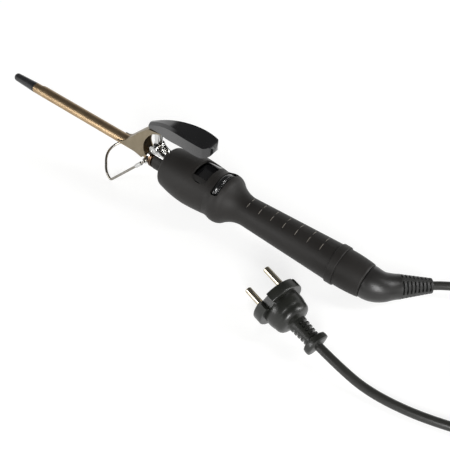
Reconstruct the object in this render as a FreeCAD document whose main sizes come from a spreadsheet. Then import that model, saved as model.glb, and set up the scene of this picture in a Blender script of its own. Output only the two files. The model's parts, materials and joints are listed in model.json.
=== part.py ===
import FreeCAD, Part
import math
import os
import re
import Sketcher
from FreeCAD import Placement, Rotation, Vector

# A slim curling iron: a heated rod with a sprung clamp, a wire rest, a moulded
# handle with a rocker switch and a heat dial, and a swivelling mains lead.
#
# Iron frame: X runs along the heated rod from its cool tip to the lead, Z is
# up on the side of the thumb lever, and x = 0 is the front of the handle.
# The iron is drawn in that frame and then laid on the floor, where it leans
# on its wire rest and on the rear collar.

# ---------------------------------------------------------------- sizes (mm)
SIZES = {
    # heated rod
    "rod_radius": 4.25, "rod_bore": 3.65, "rod_length": 145.0, "rod_inset": 8.0,
    "tip_length": 25.0, "tip_nose_radius": 3.35, "tip_root_radius": 4.2, "tip_spigot": 6.0,
    "core_radius": 3.1, "core_length": 116.0, "core_gap": 0.3,
    # clamp: spoon, yoke, lever and their pivot
    "spoon_gap": 0.3, "spoon_sheet": 0.45, "spoon_toe": 139.0, "spoon_heel": 41.0,
    "yoke_half_width": 5.5, "yoke_top_half_width": 3.6, "yoke_sheet": 0.8,
    "pivot_back": 11.0, "pivot_height": 12.4, "pivot_pin_radius": 1.5, "pivot_play": 0.05,
    "lug_sheet": 0.8, "lug_radius": 3.0, "bush_radius": 2.3, "bush_play": 0.1,
    "lever_half_width": 8.2, "lever_wall": 1.6, "lever_nose_half_width": 2.6,
    "lever_front": 17.0, "lever_rear": 43.5,
    # hinge bracket that comes out of the handle
    "arm_gap": 4.0, "arm_sheet": 0.8, "arm_base": 8.3, "ear_radius": 3.3,
    "coil_radius": 2.2, "spring_wire": 0.8,
    # base of the rod
    "fin_radius": 7.9, "fin_root": 5.6, "collar_radius": 8.1, "collar_front": 11.3,
    "seat_fit": 0.05,
    # wire rest
    "rest_pivot_back": 17.3, "rest_wire": 1.0, "rest_boss_radius": 2.4, "rest_boss_reach": 8.3,
    "rest_ring_sheet": 0.6,
    "rest_half_width": 23.1, "rest_reach": 24.0, "rest_arch": 20.0, "rest_rise": 30.0, "rest_shank": 9.8,
    "rest_drop": 0.2,
    # handle outside
    "shell_wall": 2.1, "face_radius": 12.8, "head_front_radius": 16.4, "head_radius": 19.6,
    "waist_radius": 18.1, "bulge_radius": 19.5, "grip_radius": 11.2, "grip_rear_radius": 13.9,
    "tail_radius": 12.2, "band_radius": 14.8, "band_seat": 13.3,
    "dial_bay_start": 49.3, "dial_bay": 7.4, "grip_start": 75.0, "band_start": 149.6,
    "band_width": 5.9, "handle_length": 175.4,
    "rib_pitch": 10.4, "rib_count": 7, "rib_first": 77.0, "rib_depth": 0.4,
    # switch and heat dial
    "switch_middle": 36.4, "switch_width": 12.8, "switch_half_span": 11.4, "switch_floor": 14.4,
    "rocker_width": 8.4, "rocker_half_span": 7.0, "rocker_play": 0.3, "panel_fit": 0.15,
    "dial_radius": 14.6, "dial_width": 5.8, "dial_lift": 4.6, "dial_slot_slope": 1.4,
    "dial_shaft": 3.0, "running_fit": 0.06,
    # swivel elbow and strain relief
    "spigot_radius": 6.0, "spigot_flange": 8.3, "end_wall": 7.6, "seam_gap": 0.35,
    "elbow_advance": 8.1, "elbow_turn": 41.5, "elbow_radius": 11.8, "elbow_exit_radius": 8.7,
    "elbow_reach": 15.4, "relief_length": 21.8, "relief_end_radius": 5.4, "relief_ribs": 8,
    # lead and plug
    "lead_radius": 3.1, "coil_mean": 33.95, "coil_half_width": 13.95, "coil_height": 12.6,
    "flange_radius": 18.2, "flange_depth": 6.0, "dome_radius": 13.7, "dome_middle": 14.0,
    "neck_radius": 6.6, "neck_end_radius": 6.0, "neck_end": 35.6, "ring_radius": 8.9,
    "ring_middle": 39.6, "ring_half_width": 2.9, "pin_radius": 2.4, "pin_length": 19.0,
    "pin_spacing": 19.0, "pin_root": 12.0, "pin_root_radius": 2.0, "notch_half_width": 3.6,
    "notch_depth": 5.0,
    "guide_half_width": 1.9, "guide_depth": 1.6,
    # how the iron lies
    "tilt": 3.0, "origin_back": 22.36, "origin_side": 2.375, "tail_datum": 152.79962,
    "tail_height": 13.70945,
}
DOC = FreeCAD.newDocument("curling_iron")
WORD = re.compile(r"[a-z_]+")
ORIGIN = Vector(0, 0, 0)
X_AXIS, Y_AXIS, Z_AXIS = Vector(1, 0, 0), Vector(0, 1, 0), Vector(0, 0, 1)


def make_sheet():
    """Spreadsheet with one named cell for each driving size."""
    sheet = DOC.addObject("Spreadsheet::Sheet", "Sizes")
    for row, (name, value) in enumerate(SIZES.items(), start=1):
        sheet.set(f"A{row}", name)
        sheet.set(f"B{row}", str(value))
        sheet.setAlias(f"B{row}", name)
    DOC.recompute()
    return sheet


SHEET = make_sheet()


def formula(text):
    """Formula on size names, turned into one on the sheet's cells."""
    return WORD.sub(lambda word: f"Sizes.{word[0]}" if word[0] in SIZES else word[0], str(text))


def size(text):
    """Present value of a formula on size names."""
    return float(SHEET.evalExpression(formula(text)))


def bind(item, **sizes):
    """Tie properties of an object to formulas on the sheet."""
    for name, text in sizes.items():
        item.setExpression(name, formula(text))


# -------------------------------------------------------------- placements
def rest_placement():
    """Iron frame to floor frame: tilted so the rest's foot and the rear collar touch z = 0."""
    tilt = size("tilt")
    lift = size("(band_start + band_width - 0.55) * sin(tilt) + band_radius * cos(tilt)")
    back = size("origin_back")
    return Placement(Vector(-back, -size("origin_side"), lift), Rotation(Y_AXIS, tilt))


REST = rest_placement()


def elbow_placement():
    """Frame of the strain relief: X along the lead where it leaves the elbow's corner."""
    corner = size("handle_length + elbow_advance")
    return REST * Placement(Vector(corner, 0, 0), Rotation(Z_AXIS, size("elbow_turn")))


def laid(x_place, y_place, z_place, follow=0.0):
    """Point of the lead or plug, which keeps its distance from the handle's end. Its height changes
    by the share follow of the end's."""
    tail = REST.multVec(Vector(size("handle_length"), 0, 0))
    shift, drop = tail.x - size("tail_datum"), tail.z - size("tail_height")
    return Vector(x_place + shift, y_place, z_place + follow * drop)


PLUG = Placement(laid(114.735, -56.395, 18.81), Rotation(-13.0, 10.0, 46.0))


# ---------------------------------------------------- sketches and features
def new_body(label, placement=None):
    """Empty body for one sub-part."""
    body = DOC.addObject("PartDesign::Body", label)
    body.Label = label
    body.Placement = placement or REST
    return body


def origin_feature(body, role):
    """Origin plane or axis of a body, by its role."""
    return next(item for item in body.Origin.OriginFeatures if item.Role == role)


def new_sketch(body, name, plane, offset=None):
    """Sketch on an origin plane of its body, moved along the plane's normal by a formula."""
    sketch = body.newObject("Sketcher::SketchObject", name)
    sketch.AttachmentSupport = [(origin_feature(body, plane), "")]
    sketch.MapMode = "FlatFace"
    if offset is not None:
        sketch.setExpression("AttachmentOffset.Base.z", formula(offset))
    return sketch


def pin_point(sketch, edge, end, x_text, y_text):
    """Dimension one end of a sketch edge from the origin, in both directions."""
    for kind, text in (("DistanceX", x_text), ("DistanceY", y_text)):
        index = sketch.addConstraint(Sketcher.Constraint(kind, -1, 1, edge, end, size(text)))
        sketch.setExpression(f"Constraints[{index}]", formula(text))


def outline(sketch, corners):
    """Closed outline. A corner is (x, y), or (x, y, radius) where an arc of that radius
    leads to it from the corner before: positive bulges to the left of travel."""
    points = [Vector(size(corner[0]), size(corner[1]), 0) for corner in corners]
    count = len(corners)
    starts = []
    for index in range(count):
        begin, end = points[index], points[(index + 1) % count]
        arc = corners[(index + 1) % count][2:]
        if not arc:
            edge = sketch.addGeometry(Part.LineSegment(begin, end), False)
            starts.append((edge, 1, 2))
            continue
        radius = size(arc[0])
        chord = end - begin
        left = Vector(-chord.y, chord.x, 0).normalize() * math.copysign(1.0, radius)
        rise = abs(radius) - math.sqrt(radius ** 2 - (chord.Length / 2) ** 2)
        middle = (begin + end) * 0.5 + left * rise
        edge = sketch.addGeometry(Part.Arc(begin, middle, end), False)
        starts.append((edge, 2, 1) if radius > 0 else (edge, 1, 2))
        bound = sketch.addConstraint(Sketcher.Constraint("Radius", edge, abs(radius)))
        sketch.setExpression(f"Constraints[{bound}]", formula(f"abs({arc[0]})"))
    for index in range(count):
        edge, first, last = starts[index]
        after, after_first, _ = starts[(index + 1) % count]
        sketch.addConstraint(Sketcher.Constraint("Coincident", edge, last, after, after_first))
        pin_point(sketch, edge, first, *corners[index][:2])
    return sketch


def circle(sketch, x_text, y_text, radius_text):
    """Full circle with its centre and radius dimensioned."""
    centre = Vector(size(x_text), size(y_text), 0)
    edge = sketch.addGeometry(Part.Circle(centre, Z_AXIS, size(radius_text)), False)
    pin_point(sketch, edge, 3, x_text, y_text)
    index = sketch.addConstraint(Sketcher.Constraint("Radius", edge, size(radius_text)))
    sketch.setExpression(f"Constraints[{index}]", formula(radius_text))
    return sketch


def feature(body, kind, name, sketch, **sizes):
    """PartDesign feature on a sketch, with its sizes tied to the sheet."""
    item = body.newObject(f"PartDesign::{kind}", name)
    item.Profile = sketch
    sketch.Visibility = False
    bind(item, **sizes)
    return item


def revolve(body, name, sketch, kind="Revolution", angle="360", reverse=False):
    """Turn a sketch about its own horizontal axis, or cut away what it sweeps."""
    item = feature(body, kind, name, sketch, Angle=angle)
    item.ReferenceAxis = (sketch, ["H_Axis"])
    item.Reversed = reverse
    return item


def pad(body, name, sketch, length, middle=False, reverse=False):
    """Add the prism that stands on a sketch."""
    item = feature(body, "Pad", name, sketch, Length=length)
    item.Midplane = middle
    item.Reversed = reverse
    return item


def pocket(body, name, sketch, length=None, middle=False, reverse=False):
    """Cut the prism that stands on a sketch, or cut through all with no length."""
    before = body.Shape.Volume
    item = feature(body, "Pocket", name, sketch)
    if length is None:
        item.Type = "ThroughAll"
    else:
        bind(item, Length=length)
    item.Midplane = middle
    item.Reversed = reverse
    DOC.recompute()
    if not body.Shape.Volume < before:
        raise RuntimeError(f"{body.Label}: {name} cut nothing")
    return item


def fillet(body, name, base, edges, radius, kind="Fillet"):
    """Round or bevel edges of a body's last feature."""
    item = body.newObject(f"PartDesign::{kind}", name)
    item.Base = (base, edges)
    bind(item, **{"Radius" if kind == "Fillet" else "Size": radius})
    return item


def edges_where(item, test):
    """Names of an object's edges whose middle point and length pass a test."""
    found = []
    for index, edge in enumerate(item.Shape.Edges, start=1):
        middle = edge.valueAt((edge.FirstParameter + edge.LastParameter) / 2)
        if test(edge, middle):
            found.append(f"Edge{index}")
    return found


def solid_part(label, shape, placement=None):
    """Sub-part whose shape is worked out with Part's own functions."""
    item = DOC.addObject("Part::Feature", label)
    item.Label = label
    item.Shape = shape
    item.Placement = placement or REST
    return item


def turned(label, corners, placement=None):
    """Body turned on a lathe about X from an outline of (x, radius) corners."""
    body = new_body(label, placement)
    revolve(body, label + "_turn", outline(new_sketch(body, label + "_outline", "XZ_Plane"), corners))
    return body


# --------------------------------------------------------- wires and tubes
def rounded_path(points, radii):
    """Straight runs through the points, joined by a tangent arc at each inner one."""
    edges = []
    start = points[0]
    for index in range(1, len(points) - 1):
        before, corner, after = points[index - 1:index + 2]
        into = (corner - before).normalize()
        out = (after - corner).normalize()
        turn = into.getAngle(out)
        setback = radii[index - 1] * math.tan(turn / 2)
        arc_start = corner - into * setback
        arc_end = corner + out * setback
        inward = (out - into).normalize()
        centre_distance = radii[index - 1] / math.cos(turn / 2)
        middle = corner + inward * (centre_distance - radii[index - 1])
        edges.append(Part.LineSegment(start, arc_start).toShape())
        edges.append(Part.Arc(arc_start, middle, arc_end).toShape())
        start = arc_end
    edges.append(Part.LineSegment(start, points[-1]).toShape())
    return Part.Wire(edges)


def tube(path, radius):
    """Round solid swept along a path."""
    edge = path.Edges[0]
    start = edge.valueAt(edge.FirstParameter)
    section = Part.Wire(Part.makeCircle(radius, start, edge.tangentAt(edge.FirstParameter)))
    return path.makePipeShell([section], True, True)


def lead_radii(points):
    """Largest arc that each corner's runs allow: 0.45 of the shorter run."""
    radii = []
    for before, corner, after in zip(points, points[1:], points[2:]):
        turn = (corner - before).getAngle(after - corner)
        run = min((corner - before).Length, (after - corner).Length)
        radii.append(0.45 * run / math.tan(turn / 2))
    return radii


# ------------------------------------------------------------- heated rod
def rod_tube():
    """Heated rod: a plain drawn tube that runs into the handle."""
    body = new_body("rod_tube")
    sketch = new_sketch(body, "rod_section", "YZ_Plane", "-rod_length")
    circle(sketch, "0", "0", "rod_radius")
    circle(sketch, "0", "0", "rod_bore")
    pad(body, "rod_pad", sketch, "rod_length + rod_inset")
    return body


def cool_tip():
    """Moulded tip that stays cool enough to hold: tapered, with a domed nose and a spigot."""
    end = "-rod_length - tip_length"
    return turned("cool_tip", [
        (end, "0"), (end + " + tip_nose_radius * 0.8", "tip_nose_radius", "tip_nose_radius * 1.04"),
        ("-rod_length - 1.6", "tip_root_radius"), ("-rod_length - 1.6", "tip_root_radius - 0.25"),
        ("-rod_length - 1.2", "tip_root_radius - 0.25"), ("-rod_length - 1.2", "rod_radius"),
        ("-rod_length", "rod_radius"), ("-rod_length", "rod_bore - seat_fit"),
        ("-rod_length + tip_spigot", "rod_bore - seat_fit"), ("-rod_length + tip_spigot", "0")])


def heater_core():
    """Ceramic rod with its winding, inside the heated rod."""
    core = DOC.addObject("Part::Cylinder", "heater_core")
    bind(core, Radius="core_radius", Height="core_length")
    start = size("tip_spigot + core_gap - rod_length")
    core.Placement = REST * Placement(Vector(start, 0, 0), Rotation(Y_AXIS, 90))
    return core


def heat_break():
    """Two thin steel fins between the hot rod and the moulded collar."""
    fins = [("-14.9", "rod_radius + seat_fit"), ("-14.9", "fin_radius")]
    for start in (-13.9, -12.5):
        fins += [(f"{start}", "fin_radius"), (f"{start}", "fin_root")]
        if start < -13:
            fins += [("-13.3", "fin_root"), ("-13.3", "fin_radius")]
    fins += [("-collar_front", "fin_root"), ("-collar_front", "rod_radius + seat_fit")]
    return turned("heat_break", fins)


def front_collar():
    """Heat-proof moulded collar, held by its flange behind the handle's front wall."""
    collar = turned("front_collar", [
        ("-collar_front", "rod_radius + seat_fit"), ("-collar_front", "collar_radius - 1"),
        ("-collar_front + 1", "collar_radius", "1"), ("2.7", "collar_radius"),
        ("2.7", "collar_radius + 2.6"), ("6", "collar_radius + 2.6"), ("6", "collar_radius - 1"),
        ("rod_inset + 1", "collar_radius - 1"), ("rod_inset + 1", "rod_radius + seat_fit")])
    DOC.recompute()
    seat = outline(new_sketch(collar, "bracket_seat", "YZ_Plane", "2"), [
        ("-arm_gap - arm_sheet - 0.2", "arm_base - 0.1"), ("arm_gap + arm_sheet + 0.2", "arm_base - 0.1"),
        ("arm_gap + arm_sheet + 0.2", "collar_radius + 4"),
        ("-arm_gap - arm_sheet - 0.2", "collar_radius + 4")])
    pocket(collar, "bracket_seat_cut", seat, "6", reverse=True)
    return collar


# ------------------------------------------------------------ wire rest
def rest_ring():
    """Ring on the rod with a boss each side, bored for the ends of the wire rest."""
    body = new_body("rest_ring")
    front, rear = "-rest_pivot_back - 1.9", "-15.0"
    sketch = outline(new_sketch(body, "rest_ring_outline", "XZ_Plane"), [
        (front, "rod_radius + seat_fit"), (front, "rod_radius + rest_ring_sheet"),
        (rear, "rod_radius + rest_ring_sheet"), (rear, "rod_radius + seat_fit")])
    revolve(body, "rest_ring_turn", sketch)
    for side, reverse in (("near", False), ("far", True)):
        sign = "" if side == "near" else "-"
        boss = new_sketch(body, f"boss_{side}", "XZ_Plane", f"{sign}(rod_radius + 0.2)")
        circle(boss, "-rest_pivot_back", "0", "rest_boss_radius")
        pad(body, f"boss_{side}_pad", boss, "rest_boss_reach - rod_radius - 0.2", reverse=reverse)
        DOC.recompute()
        bore = new_sketch(body, f"bore_{side}", "XZ_Plane", f"{sign}rest_boss_reach")
        circle(bore, "-rest_pivot_back", "0", "rest_wire + running_fit")
        pocket(body, f"bore_{side}_cut", bore, "3", reverse=reverse)
    return body


def rest_points():
    """Corners of the wire rest and the bend at each: hooks, legs and the foot's raised arch."""
    pivot_x, half, arch = -size("rest_pivot_back"), size("rest_half_width"), size("rest_arch")
    foot_x = pivot_x - size("rest_reach")
    tilt, rise = math.radians(size("tilt")), math.radians(size("rest_rise"))
    foot_z = (size("rest_wire - rest_drop") - REST.Base.z + foot_x * math.sin(tilt)) / math.cos(tilt)
    corners = [(Vector(pivot_x, -size("rest_boss_reach") + 2.6, 0), 0),
               (Vector(pivot_x, -size("rest_shank"), 0), 1.6)]
    for across, along, bend in ((1.0, 0.0, 2.2), (0.92, 0.36, 17.0), (0.38, 1.0, 19.0)):
        corners.append((Vector(foot_x - along * arch * math.cos(rise), -across * half,
                               foot_z + along * arch * math.sin(rise)), bend))
    return corners + [(Vector(point.x, -point.y, point.z), bend) for point, bend in reversed(corners)]


def wire_rest():
    """Wire rest that holds the hot rod off the table, with an arched foot."""
    corners = rest_points()
    path = rounded_path([point for point, _ in corners], [bend for _, bend in corners[1:-1]])
    return solid_part("wire_rest", tube(path, size("rest_wire")))


def rest_sleeves():
    """Pressed sleeve round the wire just below each hook."""
    points = [point for point, _ in rest_points()]
    sleeves = []
    for hook, foot in ((points[1], points[2]), (points[-2], points[-3])):
        along = (foot - hook).normalize()
        outer = Part.makeCylinder(size("rest_wire") + 0.65, 5.6, hook + along * 2.4, along)
        inner = Part.makeCylinder(size("rest_wire") + 0.03, 5.6, hook + along * 2.4, along)
        sleeves.append(outer.cut(inner))
    return solid_part("rest_sleeves", Part.makeCompound(sleeves))


# ------------------------------------------------------------------ clamp
def clamp_spoon():
    """Sprung half-tube that holds the hair against the rod, with a rounded toe."""
    body = new_body("clamp_spoon")
    sketch = new_sketch(body, "spoon_outline", "XZ_Plane")
    outline(sketch, [
        ("-spoon_toe", "rod_radius + spoon_gap"), ("-spoon_toe", "rod_radius + spoon_gap + spoon_sheet"),
        ("-spoon_heel", "rod_radius + spoon_gap + spoon_sheet"),
        ("-spoon_heel", "rod_radius + spoon_gap")])
    turn = revolve(body, "spoon_turn", sketch, angle="190")
    turn.Midplane = True
    DOC.recompute()
    toe = new_sketch(body, "toe_outline", "XY_Plane")
    outline(toe, [
        ("-spoon_toe - 1", "-8"), ("-spoon_toe + 5", "-8"), ("-spoon_toe + 5", "-rod_radius - 0.75"),
        ("-spoon_toe + 5", "rod_radius + 0.75", "rod_radius + 0.9"), ("-spoon_toe + 5", "8"),
        ("-spoon_toe - 1", "8")])
    pocket(body, "toe_cut", toe, "24", middle=True)
    return body


def prism(points, travel):
    """Closed polygon extruded along a vector."""
    return Part.Face(Part.makePolygon(points + points[:1])).extrude(travel)


def yoke_section(inset):
    """Cross-section prism of the yoke: upright below, drawn in towards the lever."""
    wide, narrow = size("yoke_half_width") - inset, size("yoke_top_half_width") - inset
    half = [(wide, -12.0), (wide, 4.0), (narrow, 26.0), (narrow, 50.0)]
    ring = half + [(-y_place, z_place) for y_place, z_place in reversed(half)]
    return prism([Vector(-90, y_place, z_place) for y_place, z_place in ring], Vector(95, 0, 0))


YOKE_RIDGE = [(-4.6, 31.0), (-16.6, 28.9), (-21.0, 25.4), (-25.4, 21.4), (-32.3, 14.2), (-38.4, 7.8),
              (-43.0, 3.6)]
YOKE_THROAT = [(-48.5, 1.6), (-39.5, 0.9), (-31.2, 0.1), (-23.8, -1.9), (-19.0, 3.1)]
YOKE_REAR = [(-21.4, 11.8), (-15.6, 23.6), (-11.4, 27.2), (-4.8, 29.8)]


def yoke_arc(points):
    """Smooth edge through points of the XZ plane."""
    curve = Part.BSplineCurve()
    curve.interpolate([Vector(x_place, 0, z_place) for x_place, z_place in points])
    return curve.toShape()


def yoke_side(drop):
    """Side face of the yoke, with its ridge lowered by a sheet's thickness where asked."""
    ridge = [(x_place, z_place - drop) for x_place, z_place in YOKE_RIDGE]
    ridge.append((-48.5, 2.5 - drop))
    rear = yoke_arc([YOKE_THROAT[-1]] + YOKE_REAR)
    lower = [Vector(x_place, 0, z_place) for x_place, z_place in YOKE_THROAT]
    upper = [Vector(x_place, 0, z_place) for x_place, z_place in ridge]
    edges = [Part.LineSegment(lower[-1], lower[-2]).toShape(), yoke_arc(YOKE_THROAT[:-1])]
    edges += [Part.LineSegment(lower[0], upper[-1]).toShape(), yoke_arc(ridge[1:])]
    edges += [Part.LineSegment(upper[1], upper[0]).toShape(),
              Part.LineSegment(upper[0], Vector(YOKE_REAR[-1][0], 0, YOKE_REAR[-1][1])).toShape()]
    return Part.Face(Part.Wire(Part.sortEdges(edges + [rear])[0]))


def clamp_yoke():
    """Pressed yoke: a channel from the spoon's heel up to the thumb lever, open below and behind."""
    sheet = size("yoke_sheet")
    face = yoke_side(0.0)
    face.translate(Vector(0, -10, 0))
    outer = face.extrude(Vector(0, 20, 0)).common(yoke_section(0.0))
    floor = [(-60.0, -12.0), (5.0, -12.0), (5.0, 30.0), (-4.6, 30.9 - sheet)]
    ridge = [(x_place, z_place - sheet * 1.25) for x_place, z_place in YOKE_RIDGE[1:]]
    hollow = prism([Vector(x_place, -10, z_place) for x_place, z_place in floor + ridge + [(-60.0, 2.0)]],
                   Vector(0, 20, 0)).common(yoke_section(sheet))
    rod = Part.makeCylinder(size("rod_radius + spoon_gap"), 60, Vector(-80, 0, 0), X_AXIS)
    return solid_part("clamp_yoke", outer.cut(hollow).cut(rod))


def hinge_lugs():
    """Two plated lugs under the lever, which turn on the pivot pin."""
    half = size("yoke_top_half_width - yoke_sheet")
    pivot = Vector(-size("pivot_back"), 0, size("pivot_height"))
    radius = size("lug_radius")
    blade = [(-11.4, 27.2), (-11.2, 20.5), (-13.2, 14.4), (-8.8, 13.4), (-7.9, 21.0), (-7.0, 28.6)]
    side = prism([Vector(x_place, -half, z_place) for x_place, z_place in blade], Vector(0, 2 * half, 0))
    eye = Part.makeCylinder(radius, 2 * half, pivot - Vector(0, half, 0), Y_AXIS)
    inner = half - size("lug_sheet")
    gap = prism([Vector(x_place, -inner, z_place) for x_place, z_place in (
        (-30, 0), (5, 0), (5, 28.6), (-5.4, 28.2), (-11.4, 26.2), (-30, 20))], Vector(0, 2 * inner, 0))
    bore = Part.makeCylinder(size("pivot_pin_radius + pivot_play"), 20, pivot - Vector(0, 10, 0), Y_AXIS)
    return solid_part("hinge_lugs", side.fuse(eye).cut(gap).cut(bore).removeSplitter())


def hinge_bushes():
    """Plain bushes on the pin that keep the lugs in the middle of the bracket."""
    pivot = Vector(-size("pivot_back"), 0, size("pivot_height"))
    start = size("yoke_top_half_width - yoke_sheet + bush_play")
    length = size("arm_gap") - start
    bushes = []
    for side in (-1, 1):
        base = pivot + Vector(0, side * start, 0)
        outer = Part.makeCylinder(size("bush_radius"), length, base, Y_AXIS * side)
        bushes.append(outer.cut(Part.makeCylinder(size("pivot_pin_radius"), length, base, Y_AXIS * side)))
    return solid_part("hinge_bushes", Part.makeCompound(bushes))


def lever_side_outline():
    """Side view of the thumb lever as a closed face in the XZ plane."""
    front, rear = -size("lever_front"), size("lever_rear")
    top = Part.BSplineCurve()
    top.interpolate([Vector(front, 0, 34.3), Vector(front + 8, 0, 39.0), Vector(4, 0, 44.2),
                     Vector(16, 0, 46.4), Vector(30, 0, 47.1), Vector(rear - 2.6, 0, 46.3)])
    heel = Part.Arc(Vector(rear - 2.6, 0, 46.3), Vector(rear, 0, 42.4), Vector(rear - 1.6, 0, 37.6))
    below = Part.BSplineCurve()
    below.interpolate([Vector(rear - 1.6, 0, 37.6), Vector(rear - 6, 0, 35.7), Vector(22, 0, 35.2),
                       Vector(11, 0, 33.4), Vector(2.0, 0, 31.6), Vector(-4.6, 0, 31.3),
                       Vector(front + 0.6, 0, 29.3)])
    nose = Part.Arc(Vector(front + 0.6, 0, 29.3), Vector(front - 0.4, 0, 31.8), Vector(front, 0, 34.3))
    return Part.Face(Part.Wire([item.toShape() for item in (top, heel, below, nose)]))


def lever_plan_outline(inset):
    """Plan of the thumb lever: narrow nose, full width from the middle, round heel."""
    front, rear = -size("lever_front") - 1 + inset, size("lever_rear") - inset
    nose = size("lever_nose_half_width") - inset
    half = size("lever_half_width") - inset
    near = Part.BSplineCurve()
    near.interpolate([Vector(front, -nose, 0), Vector(2, -5.3 + inset, 0), Vector(20, -half, 0),
                      Vector(rear - 6, -half, 0)])
    far = Part.BSplineCurve()
    far.interpolate([Vector(rear - 6, half, 0), Vector(20, half, 0), Vector(2, 5.3 - inset, 0),
                     Vector(front, nose, 0)])
    heel = Part.Arc(Vector(rear - 6, -half, 0), Vector(rear, 0, 0), Vector(rear - 6, half, 0))
    nose_end = Part.LineSegment(Vector(front, nose, 0), Vector(front, -nose, 0))
    return Part.Face(Part.Wire([item.toShape() for item in (near, heel, far, nose_end)]))


def thumb_lever():
    """Arched thumb lever: a moulded channel, open below."""
    wall = size("lever_wall")
    side = lever_side_outline()
    side.translate(Vector(0, -20, 0))
    block = side.extrude(Vector(0, 40, 0))
    plan = lever_plan_outline(0.0).extrude(Vector(0, 0, 70))
    outer = block.common(plan)
    crest = [edge for edge in outer.Edges if edge.Length > 20
             and edge.valueAt((edge.FirstParameter + edge.LastParameter) / 2).z > 40]
    outer = outer.makeChamfer(1.9, crest)
    hollow = block.copy()
    hollow.translate(Vector(0, 0, -wall))
    low = hollow.copy()
    low.translate(Vector(0, 0, -4))
    hollow = hollow.fuse(low).common(lever_plan_outline(wall).extrude(Vector(0, 0, 70)))
    keep = Part.makeBox(40, 30, 80, Vector(-38.5, -15, 0))
    lever = outer.cut(hollow.cut(keep))
    return solid_part("thumb_lever", lever)


def lever_rivets():
    """Two rivets that hold the thumb lever on the yoke's web."""
    rivets = []
    for x_place, z_place in ((-13.4, 28.4),):
        shank = Part.makeCylinder(1.0, 3.0, Vector(x_place, 0, z_place), Z_AXIS)
        head = Part.makeCylinder(1.7, 0.6, Vector(x_place, 0, z_place - 0.6), Z_AXIS)
        neck = Part.makeCylinder(1.0, 1.4, Vector(x_place, 0, z_place - 0.3), Z_AXIS)
        rivets.append(shank.fuse([head, neck]).removeSplitter())
    return solid_part("lever_rivets", Part.makeCompound(rivets))


def pivot_pin():
    """Riveted pin on which the clamp turns, with a domed head at each end."""
    body = new_body("pivot_pin", REST * Placement(
        Vector(-size("pivot_back"), 0, size("pivot_height")), Rotation(Z_AXIS, 90)))
    reach = "(arm_gap + arm_sheet)"
    revolve(body, "pin_turn", outline(new_sketch(body, "pin_outline", "XZ_Plane"), [
        (f"-{reach} - 0.9", "0"), (f"-{reach} - 0.9", "1"), (f"-{reach} - 0.5", "2"), (f"-{reach}", "2.3"),
        (f"-{reach}", "pivot_pin_radius"), (reach, "pivot_pin_radius"), (reach, "2.3"),
        (f"{reach} + 0.5", "2"), (f"{reach} + 0.9", "1"), (f"{reach} + 0.9", "0")]))
    return body


def hinge_bracket():
    """Pressed steel channel on the collar: a base and two walls that end in ears for the pin."""
    body = new_body("hinge_bracket")
    wall = outline(new_sketch(body, "wall_outline", "XZ_Plane"), [
        ("-pivot_back - ear_radius * 0.28", "pivot_height - ear_radius * 0.96", "-ear_radius * 1.001"),
        ("-pivot_back + 1", "arm_base"), ("8.4", "arm_base"), ("8.4", "arm_base + 2.1"),
        ("0.6", "arm_base + 2.1"), ("-3.8", "arm_base + 3"),
        ("-pivot_back + ear_radius * 0.79", "pivot_height + ear_radius * 0.613")])
    pad(body, "wall_pad", wall, "2 * (arm_gap + arm_sheet)", middle=True)
    DOC.recompute()
    gap = outline(new_sketch(body, "gap_outline", "XZ_Plane"), [
        ("-20", "0"), ("-pivot_back + 2.4", "0"), ("-pivot_back + 2.4", "arm_base + arm_sheet"),
        ("9", "arm_base + arm_sheet"), ("9", "30"), ("-20", "30")])
    pocket(body, "gap_cut", gap, "2 * arm_gap", middle=True)
    bore = circle(new_sketch(body, "ear_bore", "XZ_Plane"), "-pivot_back", "pivot_height",
                  "pivot_pin_radius")
    pocket(body, "ear_bore_cut", bore, "4 * arm_gap", middle=True)
    return body


def torsion_spring():
    """Spring wound on the pivot pin, one leg up under the lever and one down to the bracket."""
    radius, wire = size("coil_radius"), size("spring_wire") / 2
    turns, pitch = 2.75, size("spring_wire") + 0.06
    centre = Vector(-size("pivot_back"), 0, size("pivot_height"))
    helix = Part.makeHelix(pitch, pitch * turns, radius)
    helix.Placement = Placement(centre + Vector(0, pitch * turns / 2, 0), Rotation(X_AXIS, 90))
    edge = helix.Edges[0]
    begin, end = edge.valueAt(edge.FirstParameter), edge.valueAt(edge.LastParameter)
    coil = Part.Wire([edge]).makePipeShell(
        [Part.Wire(Part.makeCircle(wire, begin, edge.tangentAt(edge.FirstParameter)))], True, True)
    legs = [Part.makeCylinder(wire, 13.4, begin, Vector(-0.02, 0, 1)),
            Part.makeCylinder(wire, 7.5, end, Vector(1, 0, -0.06))]
    return solid_part("torsion_spring", coil.fuse(legs))


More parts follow.
